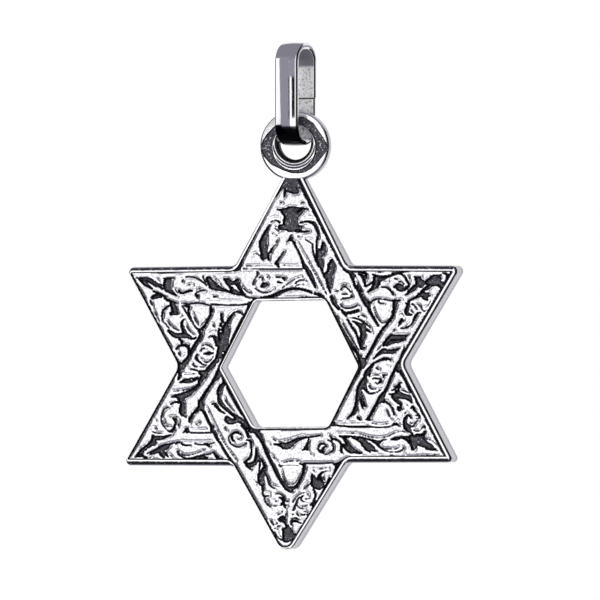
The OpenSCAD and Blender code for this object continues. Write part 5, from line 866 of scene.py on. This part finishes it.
def star_eye():
    """The flat eye: rays from the hole's centre at an angle, out to the oval edge. At a share of each ray
    the face lies at the depth of the lip, the border or the sunk face between them, less where the hole's
    bevel or the round edge cuts in, and the lip has turned steps, a cosine of the distance from the hole.
    """
    angle = np.linspace(0, 2 * math.pi, 240, endpoint=False)[None, :]
    share = np.linspace(0, 1, 64)[:, None]
    ray = HOLE_R + share * (to_oval(angle, EYE_R - 0.01) - HOLE_R)
    x, z = ray * np.cos(angle), HOLE_RISE + ray * np.sin(angle)
    lip = HOLE_R + LIP - np.hypot(x, z + HOLE_RISE / 2)
    flat = np.maximum(lip, from_outline(np.array(EYE_FACE), x, z))
    ripple = 0.5 - 0.5 * np.cos((ray - HOLE_R - STEP_START) * 2 * math.pi / STEP_PITCH)
    step = smooth(ripple) * (lip > 0) * smooth(lip / 0.1)
    y = -EYE_HALF + FACE_DEPTH * smooth(-flat / FACE_SLOPE) + STEP_HEIGHT * step
    y = np.maximum(y, -EYE_HALF + HOLE_BEVEL - (ray - HOLE_R))
    rest = to_oval(angle, EYE_R) - ray
    y = y + EYE_ROUND * (1 - np.sqrt(1 - np.clip(1 - rest / EYE_ROUND, 0, 1) ** 2))
    value = np.where(lip > 0, 0.05 - 0.085 * step * (ray > HOLE_R + 0.1), np.clip(flat + 0.02, -0.4, BUFFED))
    value = np.where(ray < HOLE_R + 0.02, -0.03, value)
    edge = [[0.0, -EYE_HALF + 0.27], [0.0, EYE_HALF - EYE_ROUND], [0.03, EYE_HALF - 0.13],
            [0.1, EYE_HALF - 0.04], [EYE_ROUND, EYE_HALF]]
    hole = [[HOLE_R + HOLE_BEVEL, EYE_HALF, BUFFED], [HOLE_R, EYE_HALF - HOLE_BEVEL, -0.05]]
    points = [np.stack([x, y, z + EYE_Z], -1).reshape(-1, 3)]
    values = [value.ravel()]
    rings = [(to_oval(angle, EYE_R - inset), depth, SKIN) for inset, depth in edge]
    for ray, depth, value in rings + hole:
        ring = [ray * np.cos(angle), 0 * angle + depth, EYE_Z + HOLE_RISE + ray * np.sin(angle)]
        points.append(np.concatenate(ring).T)
        values.append(np.full(angle.size, value))
    points = np.concatenate(points)
    faces = band(len(points) // angle.size, angle.size, closed=True)
    return solid("star_eye", points, faces, np.concatenate(values), "star")


def bend(x, z, rx, rz, start, stop):
    """An arc of an ellipse about (x, z), from one angle in degrees to another."""
    q = np.radians(np.linspace(start, stop, 33))
    return np.stack([x + rx * np.cos(q), z + rz * np.sin(q)], -1)


def strip_side(f):
    """The strip's path in the plane of the loop, y to the back and z up, on its inner face at f 0 and outer
    at f 1. Its two ends are cut on a slant, so that no light shows through the seam, and its points lie
    close together where the painted shade under the crown inside ends.
    """
    low = (BAIL_ROOM - SEAM_STEP) / 2
    side = BAIL_ROOM / 2 - BAIL_BEND
    out, crown, slant = f * BAIL_WALL, f * BAIL_CROWN, (f - 0.5) * SEAM_SLANT
    return np.concatenate([
        [[BAIL_ROOM / 2 - SEAM_STEP + out, SEAM_Z - SEAM_GAP / 2 + slant - i] for i in (0, 0.02)],
        bend(-SEAM_STEP / 2, low - BAIL_OPENING, low + out, low + out, 0, -180),
        bend(-side, -BAIL_BEND, BAIL_BEND + out, BAIL_BEND + crown, 180, 90),
        bend(side, -BAIL_BEND, BAIL_BEND + out, BAIL_BEND + crown, 90, 0),
        [[BAIL_ROOM / 2 + out, z] for z in np.linspace(-1.1, -1.6, 6)],
        [[BAIL_ROOM / 2 + out, SEAM_Z + SEAM_GAP / 2 + slant + i] for i in (0.02, 0)]])


def strip_bail():
    """The open loop of strip: a rectangle with rounded corners and a slightly crowned outer face, across the
    strip and through its wall, carried along the path between the inner and the outer face, closed at both
    ends of the seam, and turned with the bail. Inside it is dull, with a painted shade that darkens it under
    its crown where it bends over the chain. Outside, its lower bend is painted near black, a painted shade,
    and so are the seam's ends.
    """
    r, fall = 0.17, 0.045
    q = np.radians(np.linspace(0, 90, 7))
    corner = np.stack([np.cos(q), np.sin(q)], -1) * r
    half, high = BAIL_WIDTH / 2 - r, BAIL_WALL - fall - r
    quarter = [corner * s + c for s, c in (
        ([1, 1], [half, high]), ([-1, 1], [-half, high]), ([-1, -1], [-half, r]), ([1, -1], [half, r]))]
    across = np.linspace(1, -1, 17)[1:-1, None] * half
    crown = BAIL_WALL - fall * (across / half) ** 2
    section = np.concatenate([
        quarter[0], np.hstack([across, crown]), quarter[1][::-1], quarter[2], quarter[3][::-1]])
    inner, outer = strip_side(0), strip_side(1)
    f = section[:, 1] / BAIL_WALL
    path = inner[:, None] + (outer - inner)[:, None] * f[None, :, None]
    x = np.broadcast_to(section[:, 0], path.shape[:2])
    c, s = math.cos(BAIL_TURN), math.sin(BAIL_TURN)
    points = np.stack([x * c + path[..., 0] * s, path[..., 0] * c - x * s, path[..., 1]], -1)
    rows, around = path.shape[:2]
    faces = band(rows, around)
    faces += [list(range(around)), list(range((rows - 1) * around, rows * around))]
    # Painted shade: the inside darkens above a set height, under the crown
    painted_crown_shade = 1 + 2 * smooth((path[..., 1] - CROWN_SHADE_Z) / 0.3)
    # Painted shade: the outside of the lower bend goes near black below a set height
    painted_shade = -0.1 * smooth((BEND_SHADE_Z - path[..., 1]) / 0.15) * (f > 0.5)
    values = np.where(f < 0.08, painted_crown_shade, painted_shade)
    # Painted shade: the seam's end faces are painted near black
    values[[0, -1]] = -1
    return solid("strip_bail", points.reshape(-1, 3), faces, values.ravel(), "bail")


def node(tree, kind, inputs=None, **settings):
    """Adds a shader node. Settings are its properties, and inputs its sockets' values or the outputs that
    feed them.
    """
    added = tree.nodes.new("ShaderNode" + kind)
    for name, value in settings.items():
        setattr(added, name, value)
    for socket, value in (inputs or {}).items():
        if isinstance(value, bpy.types.NodeSocket):
            tree.links.new(value, added.inputs[socket])
        else:
            added.inputs[socket].default_value = value
    return added


def noise(tree, place, scale, detail, roughness=0.5):
    """A noise over a place, from 0 to 1."""
    settings = {"Vector": place, "Scale": scale, "Detail": detail, "Roughness": roughness}
    return node(tree, "TexNoise", settings).outputs[0]


def ramp(tree, value, start, stop, low=0.0, high=1.0):
    """A value that goes from low to high while another goes from start to stop."""
    return node(tree, "MapRange", {0: value, 1: start, 2: stop, 3: low, 4: high}).outputs[0]


def blend(tree, share, first, second):
    """A colour that goes from the first, an output or a code, to the second as share goes from 0 to 1."""
    ends = [colour(end) if isinstance(end, str) else end for end in (first, second)]
    return node(tree, "Mix", {0: share, 6: ends[0], 7: ends[1]}, data_type="RGBA").outputs[2]


def colour(code):
    """A six digit sRGB code as linear red, green, blue and one."""
    c = np.array([int(code[i:i + 2], 16) for i in (0, 2, 4)]) / 255
    return (*np.where(c <= 0.04045, c / 12.92, ((c + 0.055) / 1.055) ** 2.4), 1.0)


def material(name):
    """An empty material, its node tree and its surface shader, a metal."""
    made = bpy.data.materials.new(name)
    made.use_nodes = True
    tree = made.node_tree
    tree.nodes.clear()
    shader = node(tree, "BsdfPrincipled", {"Metallic": 1.0})
    out = node(tree, "OutputMaterial", {"Surface": shader.outputs[0]})
    return made, tree, shader


def oxidised_cast_silver():
    """Sterling silver cast in a mould, dipped in liver of sulphur until black all over, then buffed on its
    high parts: white and finely pitted on the leaves, black at the foot of each wall, dark grey and sandy on
    the ground.
    """
    made, tree, shader = material("oxidised_cast_silver")
    place = node(tree, "TexCoord").outputs["Object"]
    edge = node(tree, "Attribute", attribute_name="from_edge").outputs["Fac"]
    sand = noise(tree, place, 7000.0, 2.0, 0.6)
    wear = noise(tree, place, 2600.0, 3.0, 0.6)
    grit = noise(tree, place, 5600.0, 4.0, 0.7)
    drift = ramp(tree, wear, 0.3, 0.7, -0.015, 0.015)
    ragged = node(tree, "Math", {0: edge, 1: drift}, operation="ADD").outputs[0]
    soot = ramp(tree, ragged, 0.025, -0.015)
    floor = ramp(tree, ragged, -0.03, -0.12)
    grain = ramp(tree, sand, 0.34, 0.62)
    sandy = node(tree, "Math", {0: floor, 1: grain}, operation="MULTIPLY").outputs[0]
    dark = blend(tree, sandy, "39383e", "6a6970")
    rough = ramp(tree, edge, -0.25, -0.33, 0.0, 0.07)
    peaks = node(tree, "Math", {0: sand, 1: rough}, operation="ADD").outputs[0]
    fleck = ramp(tree, peaks, 0.66, 0.70)
    dark = blend(tree, fleck, dark, "e8e8ec")
    inner = ramp(tree, edge, 0.07, 0.17)
    pits = ramp(tree, grit, 0.56, 0.34)
    pitted = node(tree, "Math", {0: inner, 1: pits}, operation="MULTIPLY").outputs[0]
    bright = blend(tree, pitted, "f4f4f7", "a3a3aa")
    paint = blend(tree, soot, bright, dark)
    skin = ramp(tree, edge, 0.26, 0.32)
    paint = blend(tree, skin, paint, "b4b3be")
    tree.links.new(paint, shader.inputs["Base Color"])
    gloss = ramp(tree, soot, 0.0, 1.0, 0.2, 0.5)
    tree.links.new(gloss, shader.inputs["Roughness"])
    relief = node(tree, "Bump", {"Strength": 0.35, "Distance": 0.00002, "Height": sand}).outputs[0]
    tree.links.new(relief, shader.inputs["Normal"])
    return made


def polished_silver():
    """Rolled sterling silver strip, bent and buffed: mirror bright outside with fine lengthwise lines of the
    rolls, and left matt and sandy inside, where the wheel doesn't reach. A painted shade greys the inside
    under the crown, and a near black painted shade covers the outside of the lower bend and the seam's ends.
    """
    made, tree, shader = material("polished_silver")
    place = node(tree, "TexCoord").outputs["Object"]
    inside = node(tree, "Attribute", attribute_name="from_edge").outputs["Fac"]
    lines = node(tree, "Mapping", {"Vector": place, "Scale": (9000.0, 9000.0, 500.0)}).outputs[0]
    rolled = noise(tree, lines, 1.0, 2.0)
    sand = noise(tree, place, 5200.0, 3.0, 0.65)
    pits = ramp(tree, sand, 0.36, 0.5)
    matt = blend(tree, pits, "a9a8b2", "ffffff")
    # Painted shade: grey on the inside under the crown
    painted_crown_shade = ramp(tree, inside, 1.0, 3.0)
    matt = blend(tree, painted_crown_shade, matt, "84838d")
    paint = blend(tree, inside, "e6e6eb", matt)
    # Painted shade: near black on the outside of the lower bend and on the seam's ends
    slot = ramp(tree, inside, -0.02, -0.1)
    paint = blend(tree, slot, paint, "17171a")
    tree.links.new(paint, shader.inputs["Base Color"])
    gloss = ramp(tree, inside, 0.0, 1.0, 0.06, 0.42)
    tree.links.new(gloss, shader.inputs["Roughness"])
    metal = ramp(tree, inside, 0.0, 1.0, 1.0, 0.35)
    tree.links.new(metal, shader.inputs["Metallic"])
    relief = node(tree, "Bump", {"Strength": 0.12, "Distance": 0.00001, "Height": rolled}).outputs[0]
    tree.links.new(relief, shader.inputs["Normal"])
    return made


def glowing(name, tone, strength):
    """A material that glows with one tone."""
    made = bpy.data.materials.new(name)
    made.use_nodes = True
    made.node_tree.nodes.clear()
    glow = node(made.node_tree, "Emission", {"Color": colour(tone), "Strength": strength})
    node(made.node_tree, "OutputMaterial", {"Surface": glow.outputs[0]})
    return made


def card(name, turn, rise, away, width, height, tone, strength=1.0, middle=(0, 0, -0.02), taper=1):
    """A flat card at a turn and a rise in degrees as seen from its middle point, square to that sight, which
    only the metal's reflections see, as a photographer's card out of the picture. Its top edge is taper
    times its width.
    """
    a, e = math.radians(turn), math.radians(rise)
    n = np.array([math.sin(a) * math.cos(e), -math.cos(a) * math.cos(e), math.sin(e)])
    across = np.array([math.cos(a), math.sin(a), 0])
    up = np.cross(n, across)
    centre = np.array(middle) + away * n
    corners = [centre + i * across * width / 2 + k * up * height / 2
               for i, k in ((-1, -1), (1, -1), (2 * taper - 1, 1), (-1, 1))]
    mesh = bpy.data.meshes.new(name)
    mesh.from_pydata([tuple(c) for c in corners], [], [(0, 1, 2, 3)])
    mesh.materials.append(glowing(name, tone, strength))
    seen = bpy.data.objects.new(name, mesh)
    bpy.context.scene.collection.objects.link(seen)
    seen.visible_camera = seen.visible_diffuse = seen.visible_shadow = seen.visible_transmission = False


def studio():
    """White air that the metal doesn't see, and the cards that it does see: a big white one in front of the
    relief, a white one behind, dark ones at the sides, grey ones above and below, and small near ones for
    the bands of light on the bail and the eye.
    """
    world = bpy.data.worlds.new("white_air")
    world.use_nodes = True
    world.node_tree.nodes["Background"].inputs["Color"].default_value = (1, 1, 1, 1)
    world.node_tree.nodes["Background"].inputs["Strength"].default_value = 1.0
    world.cycles_visibility.glossy = False
    bpy.context.scene.world = world
    card("white_front", -12, 10, 0.30, 0.24, 0.36, "ffffff", 1.4)
    for name, turn, rise, tone in (
            ("grey_front", 0, 0, "9a99a3"), ("white_back", 180, 0, "ffffff"),
            ("dark_left", -90, 0, "141416"), ("dark_right", 90, 0, "141416"),
            ("grey_above", 0, 90, "8d8c96"), ("grey_below", 0, -90, "77767f")):
        card(name, turn, rise, 0.45, 0.90, 0.90, tone)
    y = -0.0017
    card("white_edge", -56.6, 0, 0.02, 0.0060, 0.0126, "ffffff", 1.3, middle=(0, y, -0.0003), taper=0.8)
    card("grey_side", -52, 0, 0.0205, 0.012, 0.016, "9a99a3", middle=(0, y, 0.0014))
    card("grey_high", -58, 38, 0.05, 0.08, 0.045, "8d8c96", middle=(0, y, -0.0055))
    card("grey_back", 140, 0, 0.02, 0.012, 0.0022, "9a99a3", middle=(0.001, 0, 0.0005))
    card("dark_line", -35, 0, 0.02, 0.0005, 0.0042, "1a1a1c", middle=(0, y, -0.0039))
    card("black_band", -25.5, 0, 0.02, 0.0038, 0.0042, "0c0c0d", middle=(0, y, -0.0039))
    card("grey_band", -25.5, 0, 0.0201, 0.0058, 0.0080, "9a99a3", middle=(0, y, 0.0022))


def photographer():
    """The camera: a long lens from 20 degrees right of the relief's front, on the middle of the picture."""
    lens, film, tall, side = 900, 36, 0.04827, math.radians(20)
    data = bpy.data.cameras.new("photographer")
    data.lens = lens
    data.sensor_width = film
    data.clip_start = 0.01
    camera = bpy.data.objects.new("photographer", data)
    bpy.context.scene.collection.objects.link(camera)
    aim = np.array([0.00036, 0, -0.02014])
    camera.location = aim + tall * lens / film * np.array([math.sin(side), -math.cos(side), 0])
    camera.rotation_euler = (math.pi / 2, 0, side)
    bpy.context.scene.camera = camera


silver = oxidised_cast_silver()
strip = polished_silver()
for piece in (star_frame(), star_relief(), star_eye()):
    piece.data.materials.append(silver)
    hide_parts("star")
bail = strip_bail()
bail.data.materials.append(strip)
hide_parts("bail")

photographer()
studio()
bpy.context.scene.view_settings.view_transform = "Standard"
